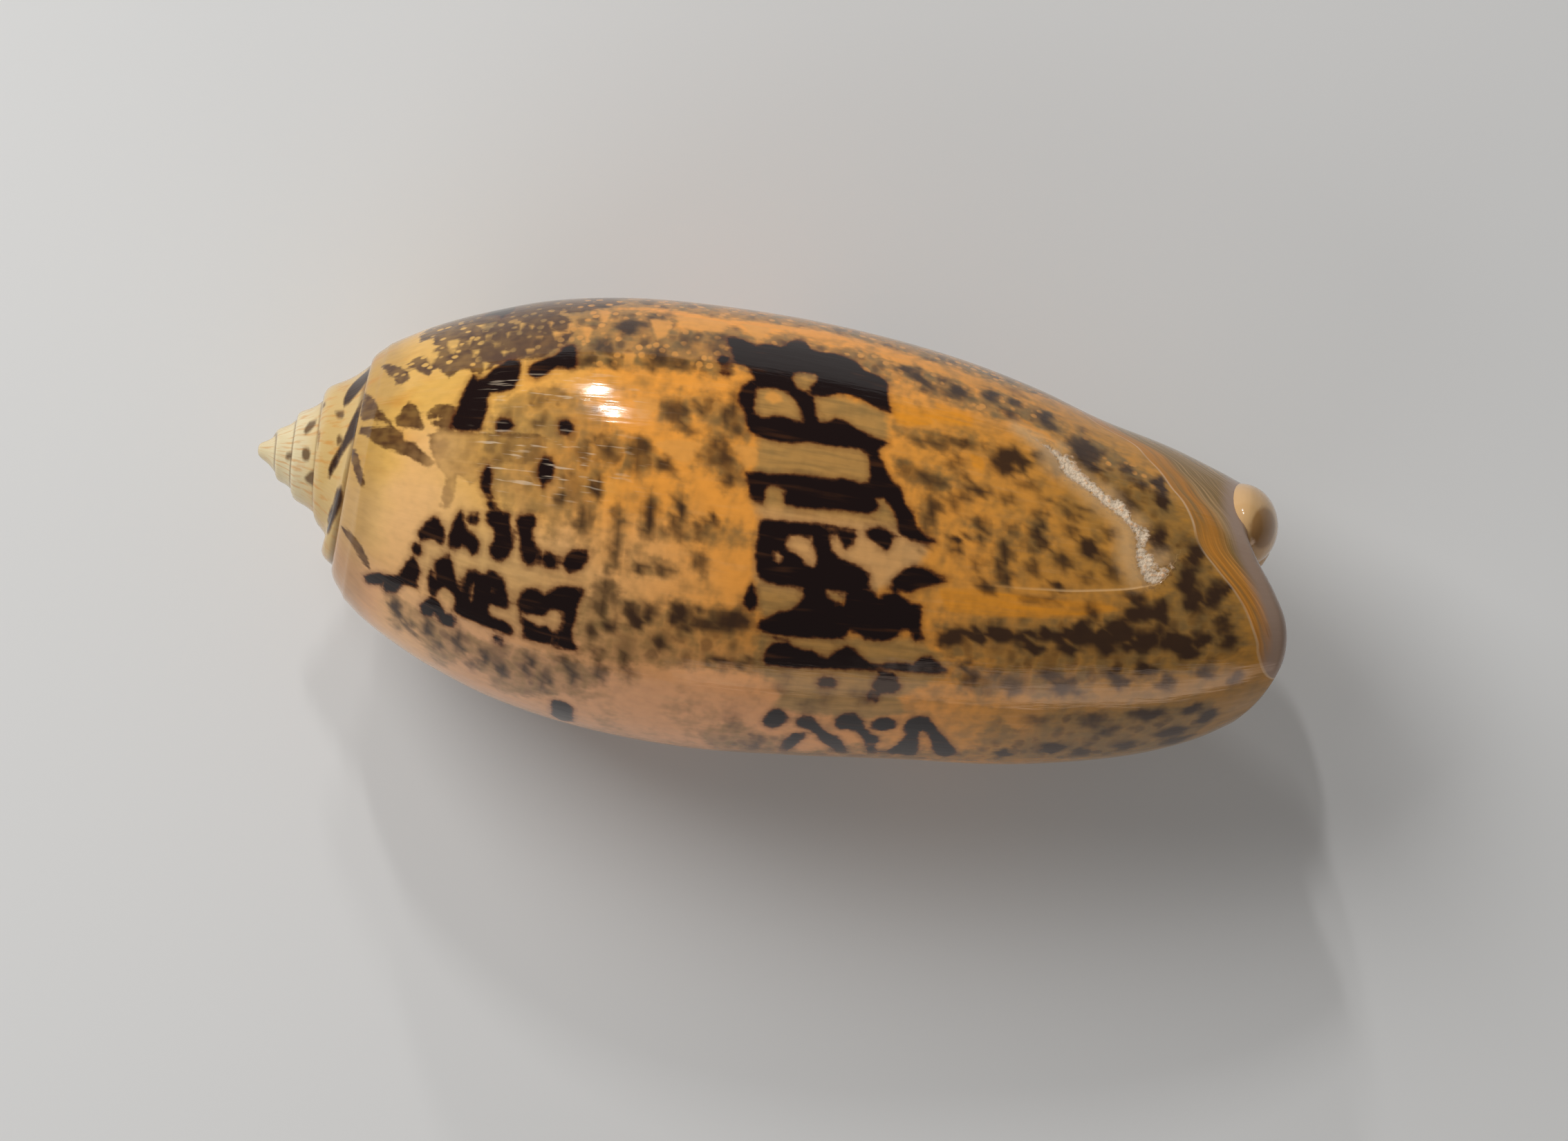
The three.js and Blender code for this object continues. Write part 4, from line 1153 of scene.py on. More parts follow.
    def loop(self) -> tuple[np.ndarray, np.ndarray]:
        """Open front edge of the body whorl, from the mouth to the lip.

        Returns:
            Its points and their winds.
        """
        form = self.form
        turns = np.arange(self.columns(form.slit_depth) + 1) * self.wind_step
        one = np.ones(len(turns))
        shares = np.arange(1, self.nose_columns + 1) / self.nose_columns
        points = [form.outer(form.mouth_wind + turns, one),
                  self.edge(np.zeros_like(shares), shares)[0],
                  form.parietal(form.slit_wind + turns, one)]
        winds = [form.mouth_wind + turns, np.full_like(shares, form.slit_wind),
                 form.slit_wind + turns - FULL_TURN]
        return np.concatenate(points), np.concatenate(winds)

    def cap(self, u: np.ndarray, v: np.ndarray) -> Sheet:
        """Shape of the round front end of the columella.

        Args:
            u: Shares of the way round the loop.
            v: Shares of the way from the loop to the tip.

        Returns:
            The points and where they lie.
        """
        loop, winds = self.loop()
        at = np.rint(u * self.loop_columns).astype(int)
        angle = np.pi / 2 * v
        tip = np.array(self.form.tip)
        point = mix(loop[at], tip, (1 - np.cos(angle))[:, None])
        point[:, 0] = mix(loop[at][:, 0], tip[0], np.sin(angle))
        return point, Chart(point[:, 0], winds[at], tip=smooth(v, 0, 0.3))

    def lobe(self, u: np.ndarray, v: np.ndarray) -> Sheet:
        """Shape of the free tip of the columella, with a stained oval on its upper side.

        Args:
            u: Shares of the way round.
            v: Shares of the way down.

        Returns:
            The points and where they lie.
        """
        turn = FULL_TURN * np.radians(u)
        slope = np.pi * v
        spin = np.radians(self.lobe_lean)
        side = self.lobe_size[0] * np.sin(slope) * np.cos(turn)
        long = self.lobe_size[1] * np.sin(slope) * np.sin(turn)
        at = np.array(self.lobe_at)
        x = at[0] + side * np.cos(spin) + long * np.sin(spin)
        y = at[1] - side * np.sin(spin) + long * np.cos(spin)
        z = at[2] + self.lobe_size[2] * np.cos(slope)
        off = np.hypot((x - self.oval_at[0]) / self.oval_size[0],
                       (y - self.oval_at[1]) / self.oval_size[1])
        stain = (1 - smooth(off, *self.oval_fade)) * (z > at[2])
        return np.stack([x, y, z], -1), Chart(x, np.zeros_like(u), tip=1 + stain)

    def sheets(self) -> list[bpy.types.Object]:
        """Builds every sheet of the shell.

        Returns:
            The sheets, whose edges meet.
        """
        half = self.columns(self.form.slit_depth)
        whole = self.columns(FULL_TURN)
        slit_rows = self.body_rows - round(self.form.crease * self.body_rows)
        return [self.sheet(*each) for each in (
            (self.lobe_columns, self.lobe_rows, self.lobe),
            (whole * self.form.spire_turns, self.spire_rows, self.spire),
            (whole, self.spire_rows, self.ramp),
            (whole, self.body_rows, self.body),
            (self.nose_columns, self.all_rows, self.nose),
            (half, slit_rows, self.inner),
            (half, slit_rows, self.parietal),
            (1, slit_rows, self.back),
            (half, self.nose_columns, self.edge),
            (self.loop_columns, self.tip_rings, self.cap),
        )]

    def build(self) -> bpy.types.Object:
        """Joins the sheets into one closed shell.

        Returns:
            The shell.
        """
        parts = self.sheets()
        for part in parts:
            part.select_set(True)
        bpy.context.view_layer.objects.active = parts[0]
        bpy.ops.object.join()
        shell = bpy.context.object
        shell.name = "shell"
        bpy.ops.object.mode_set(mode="EDIT")
        bpy.ops.mesh.select_all(action="SELECT")
        bpy.ops.mesh.remove_doubles(threshold=self.merge)
        bpy.ops.mesh.normals_make_consistent(inside=False)
        bpy.ops.object.mode_set(mode="OBJECT")
        bpy.ops.object.shade_smooth_by_angle(angle=math.radians(self.smooth_angle))
        return shell

    def dress(self, shell: bpy.types.Object) -> None:
        """Gives the shell its patterned glaze."""
        shell.data.materials.append(Glaze().material())


def rgb(code: str) -> Colour:
    """Linear colour from a six-digit hex code.

    Args:
        code: Red, green and blue as shown on a screen.

    Returns:
        The colour, with full alpha.
    """
    parts = [int(code[i:i + 2], 16) / 255 for i in (0, 2, 4)]
    linear = [c / 12.92 if c <= 0.04045 else ((c + 0.055) / 1.055) ** 2.4 for c in parts]
    return (*linear, 1.0)


@dataclass(frozen=True)
class Value:
    """Output of a shader node that takes part in ordinary arithmetic."""

    graph: "Graph"
    socket: bpy.types.NodeSocket

    def __add__(self, other: "Term") -> "Value":
        """Sum."""
        return self.graph.math("ADD", self, other)

    def __radd__(self, other: "Term") -> "Value":
        """Sum with a number first."""
        return self.graph.math("ADD", other, self)

    def __sub__(self, other: "Term") -> "Value":
        """Difference."""
        return self.graph.math("SUBTRACT", self, other)

    def __rsub__(self, other: "Term") -> "Value":
        """Difference from a number."""
        return self.graph.math("SUBTRACT", other, self)

    def __mul__(self, other: "Term") -> "Value":
        """Product."""
        return self.graph.math("MULTIPLY", self, other)

    def __rmul__(self, other: "Term") -> "Value":
        """Product with a number first."""
        return self.graph.math("MULTIPLY", other, self)


Term = Value | float
Paint = Value | Colour


@dataclass(frozen=True)
class Graph:
    """Node tree that is built from expressions."""

    tree: bpy.types.NodeTree

    def node(self, kind: str, settings: dict | None = None, inputs: dict | None = None,
             output: int | str = 0) -> Value:
        """Adds a node.

        Args:
            kind: Its type.
            settings: Its properties.
            inputs: Values or sockets by the name or number of the input.
            output: Name or number of the output to return.

        Returns:
            That output.
        """
        node = self.tree.nodes.new(kind)
        for name, value in (settings or {}).items():
            setattr(node, name, value)
        for key, value in (inputs or {}).items():
            if isinstance(value, Value):
                self.tree.links.new(value.socket, node.inputs[key])
            else:
                node.inputs[key].default_value = value
        return Value(self, node.outputs[output])

    def math(self, operation: str, *terms: Term) -> Value:
        """Result of a math node."""
        return self.node("ShaderNodeMath", {"operation": operation}, dict(enumerate(terms)))

    def field(self, name: str) -> Value:
        """Attribute of the mesh, as a number."""
        return self.node("ShaderNodeAttribute", {"attribute_name": name}, output="Fac")

    def place(self, x: Term, y: Term) -> Value:
        """Vector of two numbers."""
        return self.node("ShaderNodeCombineXYZ", inputs={0: x, 1: y})

    def squeezed(self, place: Value, x: float, y: float) -> Value:
        """Vector with its first two numbers scaled."""
        inputs = {0: place, 1: (x, y, 1)}
        return self.node("ShaderNodeVectorMath", {"operation": "MULTIPLY"}, inputs)

    def cells(self, place: Value, scale: float) -> Value:
        """Distance to the nearest of scattered centres, with its scale in cells a millimetre."""
        return self.node("ShaderNodeTexVoronoi", inputs={"Vector": place, "Scale": scale})

    def noise(self, place: Value, scale: float, detail: float = 2.0) -> Value:
        """Noise about 0, from -0.5 to 0.5, with its scale in cycles a millimetre."""
        inputs = {"Vector": place, "Scale": scale, "Detail": detail}
        return self.node("ShaderNodeTexNoise", inputs=inputs) - 0.5

    def step(self, value: Term, low: float, high: float) -> Value:
        """Smooth step from 0 at low to 1 at high."""
        inputs = {"Value": value, "From Min": low, "From Max": high}
        return self.node("ShaderNodeMapRange", {"interpolation_type": "SMOOTHSTEP"}, inputs)

    def within(self, value: Term, rise: Span, fall: Span) -> Value:
        """Smooth step up over one span times a smooth step down over another."""
        return self.step(value, *rise) * self.step(value, *fall)

    def blend(self, under: Paint, over: Paint, share: Term) -> Value:
        """Colour over another, by a share."""
        inputs = {0: share, 6: under, 7: over}
        return self.node("ShaderNodeMix", {"data_type": "RGBA"}, inputs, output=2)


@dataclass
class Coat:
    """Colour that is built up by putting others over it."""

    graph: Graph
    colour: Paint

    def lay(self, over: Value | str, share: Term) -> "Coat":
        """Puts a colour over what is there.

        Args:
            over: The colour, or its hex code.
            share: How far it covers, from 0 to 1.

        Returns:
            The same coat.
        """
        top = rgb(over) if isinstance(over, str) else over
        self.colour = self.graph.blend(self.colour, top, share)
        return self


@dataclass(frozen=True)
class Palette:
    """Colours of the shell."""

    yellow: str = "e6b35c"
    orange: str = "f8a442"
    vivid: str = "f29a22"
    ochre: str = "b48338"
    tent: str = "eba24c"
    peach: str = "f4bd80"
    pink: str = "e0a478"
    cream: str = "eabd86"
    buff: str = "a88750"
    olive: str = "866a3e"
    brown: str = "55361e"
    grey: str = "3a2518"
    rust: str = "5a2a10"
    black: str = "1a0b09"
    spire: str = "e2d1a8"
    spire_yellow: str = "d2b072"
    margin: str = "a08878"
    band: str = "cd8228"
    chalk: str = "f2dabc"
    inside: str = "ded0b8"
    tip: str = "d8ad78"
    oval: str = "946836"


@dataclass(frozen=True)
class Surface:
    """Shader values that the layers of colour and gloss share.

    The chart is flat and in millimetres. The streaks are the same chart squeezed along the axis,
    so that a noise on them is drawn out from the apex to the front.
    """

    graph: Graph
    x: Value
    wind: Value
    chart: Value
    streaks: Value
    ragged: Value
    fine: Value
    tall: Value
    lines: Value
    chips: Value

    @classmethod
    def of(cls, graph: Graph, squeeze: float = 0.12) -> "Surface":
        """Adds the values to a node tree.

        Args:
            graph: The node tree.
            squeeze: Length that streaks keep along the axis.

        Returns:
            The values.
        """
        x = graph.field("along")
        wind = graph.field("wind")
        arc = wind * DEGREE
        chart = graph.place(x, arc)
        streaks = graph.place(x * squeeze, arc)
        ragged = graph.noise(chart, 2.2, 3.0) * 0.28 + graph.noise(streaks, 3.5) * 0.16
        fine = graph.noise(chart, 1.5, 1.5)
        tall = graph.noise(graph.squeezed(chart, 1.0, 0.5), 1.15, 1.5)
        lines = graph.noise(streaks, 2.4)
        chips = graph.noise(chart, 2.6, 4.0)
        return cls(graph, x, wind, chart, streaks, ragged, fine, tall, lines, chips)


@dataclass(frozen=True)
class Ground:
    """Colour under the markings, with painted highlight and shade in it. A span is where a fade
    starts and where it is full.
    """

    colours: Palette = Palette()
    warm_along: Span = (11, 24)
    cream_winds: Span = (84, 112)
    cream_along: Span = (34, 20)
    pink_winds: Span = (118, 145)
    pink_along: Span = (50, 30)
    # Ochre towards the front end: partly the shell's own colour, partly painted shade where less
    # light falls
    ochre_and_shade_along: Span = (34, 60)
    # Painted shade: olive darkening on the lower side of the front half, away from the light
    shade_along: Span = (42, 56)
    shade_winds: Span = (124, 142)
    # Painted highlight: a peach glow on the swell of the shoulder, a little way from the suture
    glow_off: Span = (1.2, 3.0)
    glow_along: Span = (15, 11)
    glow_winds: Span = (66, 82)
    # Painted shade: olive darkening on the shoulder right next to the suture
    suture_shade_off: Span = (2.0, 0.3)
    ray_off: Span = (4.5, 0.5)
    ray_winds: Span = (100, 80)

    def paint(self, on: Surface) -> Value:
        """Builds the colour.

        Args:
            on: Values of the surface.

        Returns:
            The colour.
        """
        c, g, x, wind = self.colours, on.graph, on.x, on.wind
        cloud = g.noise(on.chart, 0.28)
        coat = Coat(g, rgb(c.yellow))
        coat.lay(c.orange, g.step(x + cloud * 9.0, *self.warm_along))
        low = g.step(wind + cloud * 30, *self.cream_winds) * g.step(x, *self.cream_along)
        coat.lay(c.cream, low * 0.6)
        pink = g.step(wind, *self.pink_winds) * g.step(x, *self.pink_along)
        coat.lay(c.pink, pink * 0.8)
        # Ochre towards the front: partly own colour, partly painted shade
        coat.lay(c.ochre, g.step(x + cloud * 14.0, *self.ochre_and_shade_along) * 0.82)
        # Painted shade low on the front half
        shade = g.step(x, *self.shade_along) * g.step(wind + cloud * 12, *self.shade_winds)
        coat.lay(c.olive, shade * 0.5)
        coat.lay(c.cream, g.step(g.noise(on.streaks, 2.6), 0.02, 0.25) * 0.1)
        away = g.field("suture") + cloud * 1.5
        # Painted highlight: peach glow on the shoulder's swell, towards the apex end
        glow = g.step(away, *self.glow_off) * g.step(x, *self.glow_along)
        coat.lay(c.peach, glow * g.step(wind, *self.glow_winds) * 0.6)
        # Painted shade on the shoulder next to the suture
        coat.lay(c.olive, g.step(away, *self.suture_shade_off) * 0.4)
        rays = g.step(g.noise(g.place(wind * 0.09, x * 0.25), 1.0), 0.02, 0.2)
        rays = rays * g.step(away, *self.ray_off) * g.step(wind, *self.ray_winds)
        return coat.lay(c.band, rays * 0.5).colour


@dataclass(frozen=True)
class Marks:
    """Washes, tents, spots, blotches and painted glints. A span is where a fade starts and where
    it is full.
    """

    colours: Palette = Palette()
    clump_along: Span = (34, 42)
    mottle_along: Span = (15, 22)
    filling_along: Span = (26, 29)
    light_winds: tuple[Span, Span] = ((85, 90), (110, 102))
    # Winds near the top edge: washes and grey cells are stronger there, partly the shell's own
    # mottling, partly painted shade on the limb
    upper_winds: Span = (60, 50)
    top_winds: Span = (60, 52)
    # Paler brown patch: partly its own thinner brown, partly painted highlight haze over it
    paler_brown_and_haze_winds: Span = (74, 78)
    paler_brown_and_haze_along: Span = (10.6, 11.8)
    tent_along: Span = (14, 20)
    vivid_along: Span = (34, 39)
    chink_along: Span = (17, 20)
    # Painted glints: pale streaks that stand in for the highlight's haze, over the first band and
    # round the highlight
    glint_along: tuple[Span, Span] = ((13, 15), (27, 18))
    glint_winds: tuple[Span, Span] = ((70, 78), (97, 88))
    upper_glint_winds: tuple[Span, Span] = ((53, 59), (70, 64))

    def paint(self, on: Surface, under: Value) -> Value:
        """Puts the marks over the ground.

        Args:
            on: Values of the surface.
            under: Colour of the ground.

        Returns:
            The colour.
        """
        c, g, x = self.colours, on.graph, on.x
        coat = Coat(g, under)
        specks = g.step(on.tall * 0.8 + on.fine * 0.5 + on.lines * 0.2, -0.2, 0.25)
        clumps = g.step(x, *self.clump_along) * 0.1 + g.noise(on.chart, 0.4)
        clumps = g.step(clumps, -0.12, 0.16)
        coat.lay(c.olive, clumps * specks * g.step(x, *self.mottle_along) * 0.52)
        soft = on.ragged * 2.2 + on.fine * 0.9
        self.fill(on, coat, soft)
        wash = g.step(g.field(Layer.WASH.value) + soft, -0.5, 0.4)
        # Stronger olive wash and grey cells towards the top edge: partly own mottling, partly
        # painted shade on the limb
        upper = g.step(on.wind, *self.upper_winds)
        coat.lay(c.olive, wash * (specks * 0.4 + 0.35 + upper * 0.2))
        warp = on.fine * 0.7 + on.tall * 0.6
        small = g.step(g.cells(g.squeezed(on.chart, 1.15, 0.7), 0.9) + warp, 0.5, 0.1)
        large = g.step(g.cells(g.squeezed(on.chart, 1.0, 0.6), 0.5) + warp, 0.42, 0.1)
        coat.lay(c.grey, wash * small * (upper * 0.2 + 0.5))
        coat.lay(c.grey, wash * large * 0.42)
        pips = g.cells(g.squeezed(on.chart, 1.0, 0.8), 1.4) + on.ragged * 0.9
        pips = g.step(pips, 0.38, 0.2)
        self.zigzags(on, coat, pips, specks)
        chinks = wash * upper * pips * g.step(x, *self.chink_along)
        coat.lay(c.tent, chinks * 0.7)
        coat.lay(c.grey, g.step(g.field("spots") + on.fine * 0.3, -0.12, 0.72) * 0.97)
        self.blotches(on, coat)
        return coat.colour

    def fill(self, on: Surface, coat: Coat, soft: Value) -> None:
        """Puts the beige filling on between the blotches of the bands.

        Args:
            on: Values of the surface.
            coat: Colour to put it on.
            soft: Unevenness of its edge.
        """
        c, g = self.colours, on.graph
        buff = g.step(g.field(Layer.BUFF.value) + soft * 0.5, -0.4, 0.35)
        buff = buff * (g.step(on.x, *self.filling_along) * 0.65 + 0.35)
        light = g.within(on.wind, *self.light_winds)
        coat.lay(g.blend(rgb(c.buff), rgb(c.peach), light * 0.65), buff * 0.75)
        coat.lay(c.olive, buff * g.step(on.lines, -0.1, 0.2) * (0.45 - light * 0.3))

    def zigzags(self, on: Surface, coat: Coat, pips: Value, specks: Value) -> None:
        """Puts on the brown zigzags with their pale pips, and the tents.

        Args:
            on: Values of the surface.
            coat: Colour to put them on.
            pips: Where the pale pips are.
            specks: Mottling of the washes.
        """
        c, g, x = self.colours, on.graph, on.x
        brown = g.step(g.field(Layer.BROWN.value) + on.ragged * 1.5, -0.22, 0.04)
        brown = brown * (1.0 - pips * g.step(on.wind, *self.top_winds) * 0.85)
        # Brown is weaker here: partly the patch's own thinner brown, partly painted highlight haze
        paler_brown_and_haze = g.step(on.wind, *self.paler_brown_and_haze_winds) * g.step(x, *self.paler_brown_and_haze_along) * 0.5
        coat.lay(c.brown, brown * (specks * 0.2 + 0.8 - paler_brown_and_haze))
        tent = g.step(g.field(Layer.TENT.value) + on.ragged * 0.5, -0.15, 0.15)
        tents = g.blend(rgb(c.yellow), rgb(c.tent), g.step(x, *self.tent_along))
        far = g.step(x, *self.vivid_along)
        tents = g.blend(tents, rgb(c.vivid), far)
        coat.lay(tents, tent * (0.85 - far * 0.3 - on.lines * far * 1.2))

    def blotches(self, on: Surface, coat: Coat) -> None:
        """Puts on the black blotches with their rusty edges, and painted glints over them.

        Args:
            on: Values of the surface.
            coat: Colour to put them on.
        """
        c, g = self.colours, on.graph
        dark = g.field(Layer.DARK.value) + on.ragged + 0.05
        coat.lay(c.rust, g.step(dark, -0.5, 0.0) * 0.45)
        coat.lay(c.rust, g.step(dark, -0.18, 0.02) * 0.8)
        thin = g.step(g.noise(on.streaks, 1.7), 0.05, 0.3) * g.step(dark, 1.1, 0.5)
        coat.lay(c.black, g.step(dark, -0.1, 0.12) * (1.0 - thin * 0.35))
        # Painted glints: chalk streaks that stand in for the highlight's haze
        near, far = self.glint_along
        painted_glints = g.step(g.noise(on.streaks, 4.2), 0.08, 0.2) * g.step(on.x, *near)
        rows = g.within(on.wind, *self.glint_winds)
        rows = rows + g.within(on.wind, *self.upper_glint_winds) * 0.8
        coat.lay(c.chalk, painted_glints * g.step(on.x, *far) * rows * 0.45)


@dataclass(frozen=True)
class Front:
    """Band past the fasciole line, the growth line and the scar."""

    colours: Palette = Palette()
    lit_winds: tuple[Span, Span] = ((66, 80), (112, 100))
    drab_past: Span = (1.3, 2.4)
    margin_gap: Span = (1.9, 0.8)
    line_past: tuple[Span, Span] = ((-0.14, -0.02), (0.14, 0.02))
    rest_along: tuple[Span, Span] = ((45, 52), (57.5, 56))
    rest_across: tuple[Span, Span] = ((-0.22, -0.05), (0.06, -0.02))

    def paint(self, on: Surface, under: Value) -> Value:
        """Puts the front over the marks.

        Args:
            on: Values of the surface.
            under: Colour with the marks.

        Returns:
            The colour.
        """
        c, g = self.colours, on.graph
        past = g.field("front")
        side = g.place(past, on.wind * 0.018)
        bands = g.noise(side, 1.6, 3.0)
        threads = g.noise(g.squeezed(side, 3.0, 1.0), 1.5)
        lit = g.within(on.wind, *self.lit_winds)
        band = Coat(g, rgb(c.olive)).lay(c.band, g.step(bands, -0.25, 0.1) * 0.7)
        band.lay(c.orange, g.step(threads, -0.1, 0.25) * (lit * 0.5 + 0.2))
        drab = g.blend(rgb(c.olive), rgb(c.tip), g.step(threads, -0.05, 0.2) * 0.5)
        band.lay(drab, g.step(past + bands * 1.4, *self.drab_past))
        band.lay(c.margin, g.step(g.field("gap") + bands * 0.8, *self.margin_gap))
        band.lay(c.grey, g.step(bands, 0.12, 0.3) * 0.55)
        coat = Coat(g, under).lay(band.colour, g.step(past, -0.05, 0.1) * 0.95)
        line = g.within(past, *self.line_past)
        coat.lay(c.chalk, line * g.step(bands, -0.2, 0.2) * 0.5)
        thin = g.within(g.field("rest"), *self.rest_across)
        coat.lay(c.cream, thin * g.within(on.x, *self.rest_along) * 0.55)
        scar = g.field(Layer.SCAR.value)
        coat.lay(c.brown, g.step(scar + on.chips * 1.4, -0.3, -0.04) * 0.5)
        coat.lay(c.cream, g.step(g.field("brink") + on.chips * 0.5, -1.1, 0.35) * 0.6)
        chalk = Coat(g, rgb(c.chalk)).lay(c.orange, g.step(on.chips, 0.0, 0.25) * 0.6)
        chalk.lay(c.brown, g.step(scar, 0.35, 0.02) * 0.35)
        return coat.lay(chalk.colour, g.step(scar + on.chips * 0.9, 0.0, 0.14) * 0.95).colour


@dataclass(frozen=True)
class OldWhorls:
    """Cream spire with its flames, and painted shade along its sutures."""

    colours: Palette = Palette()
    yellow_along: Span = (2.5, 4.6)
    # Painted shade: brown lines at both edges of each whorl, in the steps of the sutures
    lower_suture_shade: Span = (0.86, 1.0)
    upper_suture_shade: Span = (0.12, 0.0)

    def paint(self, on: Surface, under: Value) -> Value:
        """Puts the spire over the rest.

        Args:
            on: Values of the surface.
            under: Colour of the rest.

        Returns:
            The colour.
        """
        c, g = self.colours, on.graph
        coat = Coat(g, rgb(c.spire)).lay(c.spire_yellow, g.step(on.x, *self.yellow_along))
        coat.lay(c.band, g.step(g.noise(on.chart, 0.9, 3.0), -0.02, 0.2) * 0.5)
        down = g.field("spire") - 1.0
        # Painted shade in the steps of the sutures
        suture_shade = g.step(down, *self.lower_suture_shade) * 0.65 + g.step(down, *self.upper_suture_shade) * 0.5
        coat.lay(c.brown, suture_shade)
        brown = g.step(g.field(Layer.BROWN.value) + on.ragged * 0.4, -0.15, 0.12)
        coat.lay(c.brown, brown * 0.85)
        dark = g.field(Layer.DARK.value) + on.ragged * 0.35
        coat.lay(c.brown, g.step(dark, -0.18, 0.0) * 0.8)
        coat.lay(c.grey, g.step(dark, -0.05, 0.1))
        return g.blend(under, coat.colour, g.step(down, -0.6, -0.4))


@dataclass(frozen=True)
class Bare:
    """Inside of the wall, the callus and the tip of the columella, without markings."""

    colours: Palette = Palette()

    def paint(self, on: Surface, under: Value) -> Value:
        """Puts the bare parts over the rest.

        Args:
            on: Values of the surface.
            under: Colour of the rest.

        Returns:
            The colour.
        """
        c, g = self.colours, on.graph
        pale = g.blend(under, rgb(c.inside), g.field("inside"))
        share = g.field("tip")
        mottled = g.step(g.noise(on.chart, 0.9), -0.1, 0.3) * 0.3
        tip = Coat(g, rgb(c.tip)).lay(c.olive, mottled)
        tip.lay(c.oval, g.step(share, 1.0, 1.8) * 0.8)
        return g.blend(pale, tip.colour, g.step(share, 0.0, 1.0))


@dataclass(frozen=True)
class Glaze:
    """Polished, patterned surface of the shell."""

    roughness: float = 0.11
    specular: float = 0.4
    scar_roughness: float = 0.35
    relief_strength: float = 0.5
    # In metres, where the spans below it are in millimetres
    relief_height: float = 0.00006
    ledge_along: tuple[Span, Span] = ((42, 47), (57.5, 56))
    ledge_across: Span = (-0.12, 0.05)

    def material(self) -> bpy.types.Material:
        """Builds the material.

        Returns:
            The material.
        """
        paint = bpy.data.materials.new("shell_glaze")
        paint.use_nodes = True
        graph = Graph(paint.node_tree)
        shader = paint.node_tree.nodes["Principled BSDF"]
        shader.inputs["Specular IOR Level"].default_value = self.specular
        on = Surface.of(graph)
        colour = Ground().paint(on)
        for finish in (Marks(), Front(), OldWhorls(), Bare()):
            colour = finish.paint(on, colour)
        scar = graph.step(graph.field(Layer.SCAR.value) + on.ragged * 0.5, -0.05, 0.1)
        rough = graph.noise(on.streaks, 6.0) * 0.08 + self.roughness + scar * self.scar_roughness
        links = paint.node_tree.links
        links.new(colour.socket, shader.inputs["Base Color"])
        links.new(rough.socket, shader.inputs["Roughness"])
        links.new(self.relief(on, scar).socket, shader.inputs["Normal"])
        return paint

    def relief(self, on: Surface, scar: Value) -> Value:
        """Fine lines and scratches in the gloss, the growth line's ledge and the scar's chips.

        Args:
            on: Values of the surface.
            scar: Where the scar is.

        Returns:
            The bent normal.
        """
        g = on.graph
        lines = g.noise(on.streaks, 2.2, 3.0) * 0.5 + g.noise(on.chart, 0.7, 1.0) * 0.5
        ends = g.within(on.x, *self.ledge_along)
        ledge = g.step(g.field("rest"), *self.ledge_across) * ends * 1.2
        height = lines + g.noise(on.streaks, 7.0) * 0.12 + ledge + on.chips * scar * 9
        return g.node("ShaderNodeBump", inputs={
            "Strength": self.relief_strength, "Distance": self.relief_height, "Height": height})


@dataclass(frozen=True)
class Lamp:
    """Soft box that faces the shell. Lengths are in metres and its power is in watts.

    The gloss of the shell shows it if it is mirrored, and it lights the surface if it is soft.
    """

    name: str
    direction: Vector
    distance: float
    size: Span
    power: float
    tint: Vector = (1.0, 1.0, 1.0)
    mirrored: bool = True
    soft: bool = True

    def build(self) -> None:
        """Adds the lamp to the scene."""
        data = bpy.data.lights.new(self.name, "AREA")
        data.shape = "RECTANGLE"
        data.size, data.size_y = self.size
        data.energy = self.power
        data.color = self.tint
        lamp = bpy.data.objects.new(self.name, data)
        bpy.context.collection.objects.link(lamp)
        heading = mathutils.Vector(self.direction).normalized()
        lamp.location = heading * self.distance
        lamp.rotation_euler = heading.to_track_quat("Z", "Y").to_euler()
        lamp.visible_glossy = self.mirrored
        lamp.visible_diffuse = self.soft


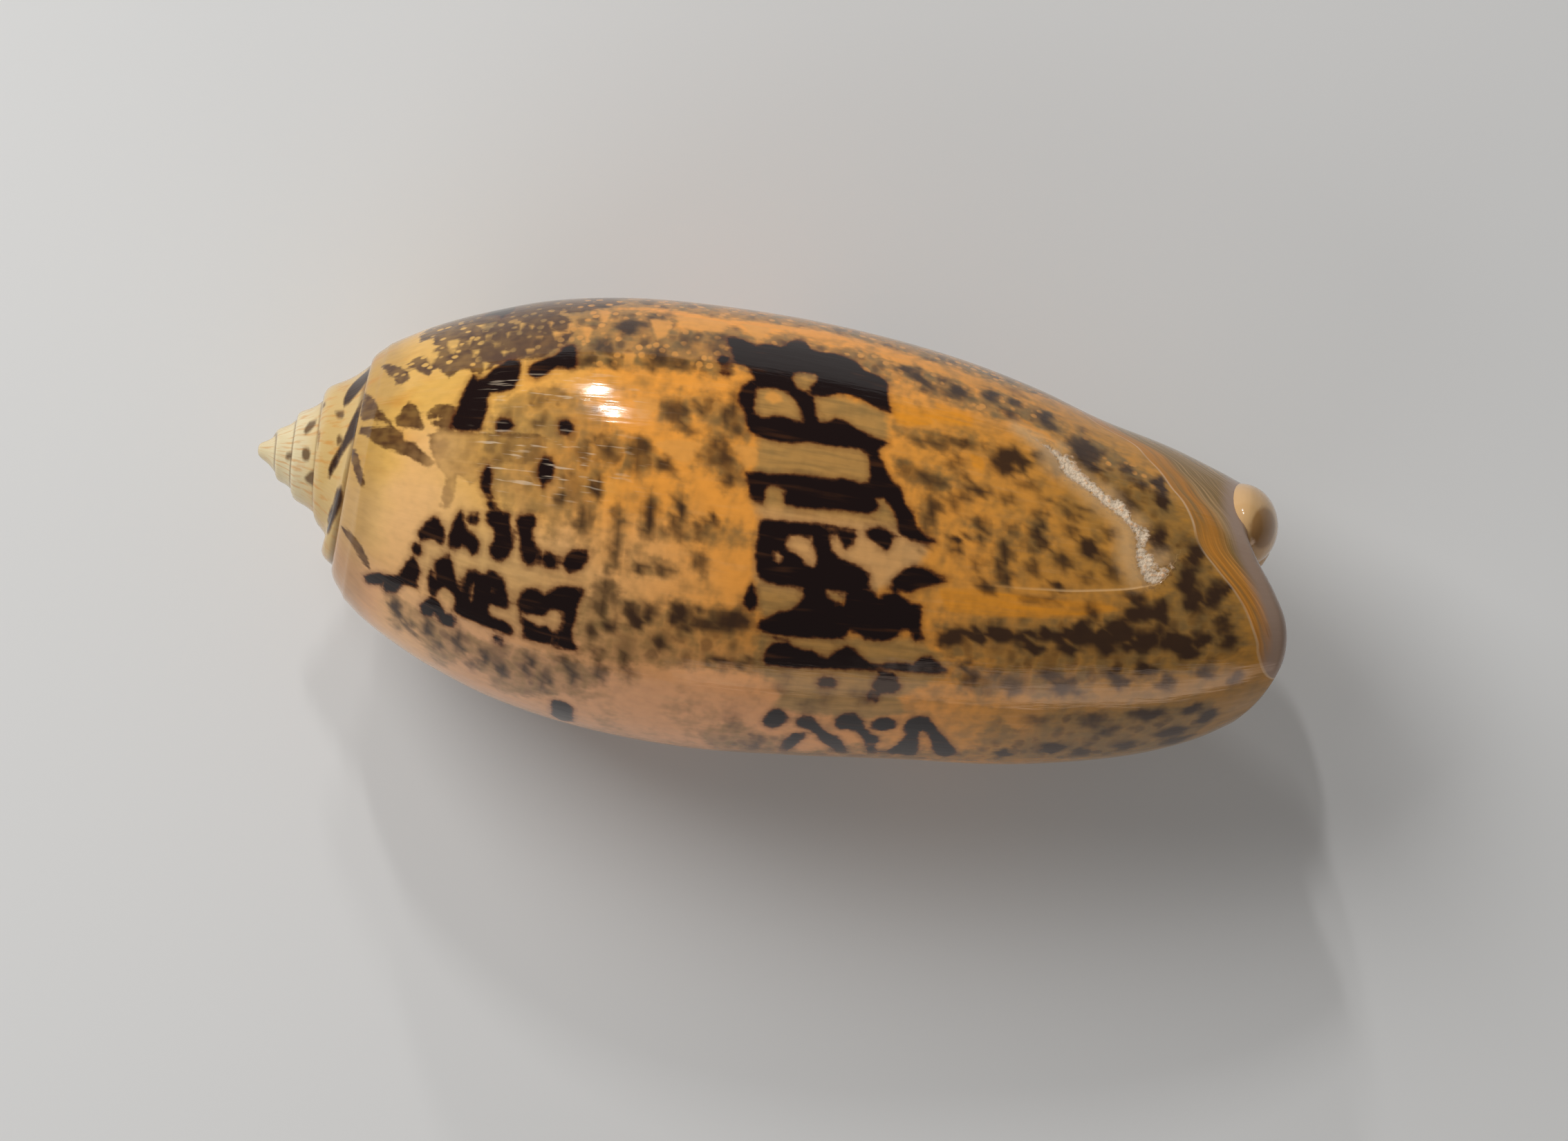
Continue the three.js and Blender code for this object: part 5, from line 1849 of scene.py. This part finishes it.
@dataclass
class Studio:
    """Floor, lights and camera. Lengths are in metres, those of the lens in millimetres."""

    floor_size: float = 3.0
    floor_colour: Colour = (0.78, 0.78, 0.77, 1)
    floor_roughness: float = 0.9
    sky: float = 0.14
    roll: float = 8.0
    camera_at: Vector = (0.00116, -0.0020, 0.41155)
    sensor: float = 36.0
    lens: float = 147.7
    lamps: tuple[Lamp, ...] = (
        Lamp("key", (-0.245, 0.755, 0.62), 0.8, (0.022, 0.07), 0.9),
        Lamp("pane", (-0.28, 0.865, 0.43), 0.8, (0.018, 0.07), 0.7),
        Lamp("side", (0.5, -0.88, 0.2), 0.9, (0.5, 0.5), 1.0, (1.0, 0.8, 0.68)),
        Lamp("sheen", (0.4, -0.9, 0.12), 0.9, (0.9, 0.26), 1.0, (1.0, 0.76, 0.62), soft=False),
        Lamp("low", (-0.5, -0.8, 0.45), 0.35, (0.25, 0.25), 0.26, mirrored=False),
        Lamp("top", (-0.75, 0.55, 0.85), 0.4, (0.22, 0.22), 0.92, mirrored=False),
    )

    def floor(self) -> None:
        """Adds the plain pale floor."""
        bpy.ops.object.select_all(action="DESELECT")
        bpy.ops.mesh.primitive_plane_add(size=self.floor_size)
        floor = bpy.context.object
        floor.name = "floor"
        paint = bpy.data.materials.new("floor")
        paint.use_nodes = True
        shader = paint.node_tree.nodes["Principled BSDF"]
        shader.inputs["Base Color"].default_value = self.floor_colour
        shader.inputs["Roughness"].default_value = self.floor_roughness
        floor.data.materials.append(paint)

    def world(self) -> None:
        """Adds the even white light from all sides."""
        world = bpy.data.worlds.new("world")
        world.use_nodes = True
        background = world.node_tree.nodes["Background"]
        background.inputs["Color"].default_value = (1, 1, 1, 1)
        background.inputs["Strength"].default_value = self.sky
        bpy.context.scene.world = world

    def camera(self) -> None:
        """Adds the camera at the photo's viewing angle."""
        data = bpy.data.cameras.new("camera")
        data.sensor_width = self.sensor
        data.lens = self.lens
        camera = bpy.data.objects.new("camera", data)
        bpy.context.collection.objects.link(camera)
        camera.location = self.camera_at
        camera.rotation_euler = (0, 0, math.radians(self.roll))
        bpy.context.scene.camera = camera

    def build(self) -> None:
        """Adds everything round the shell."""
        bpy.context.scene.view_settings.view_transform = "Standard"
        self.floor()
        for lamp in self.lamps:
            lamp.build()
        self.world()
        self.camera()


def main() -> None:
    """Builds the shell and the studio."""
    logging.basicConfig(level=logging.INFO)
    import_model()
    olive = OliveShell()
    shell = olive.build()
    olive.dress(shell)
    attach(shell, "root")
    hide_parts("olive_shell")
    LOG.info("shell: %d faces", len(shell.data.polygons))
    studio = Studio()
    studio.build()
    LOG.info("studio: floor, camera and %d lamps", len(studio.lamps))


if __name__ == "__main__":
    main()
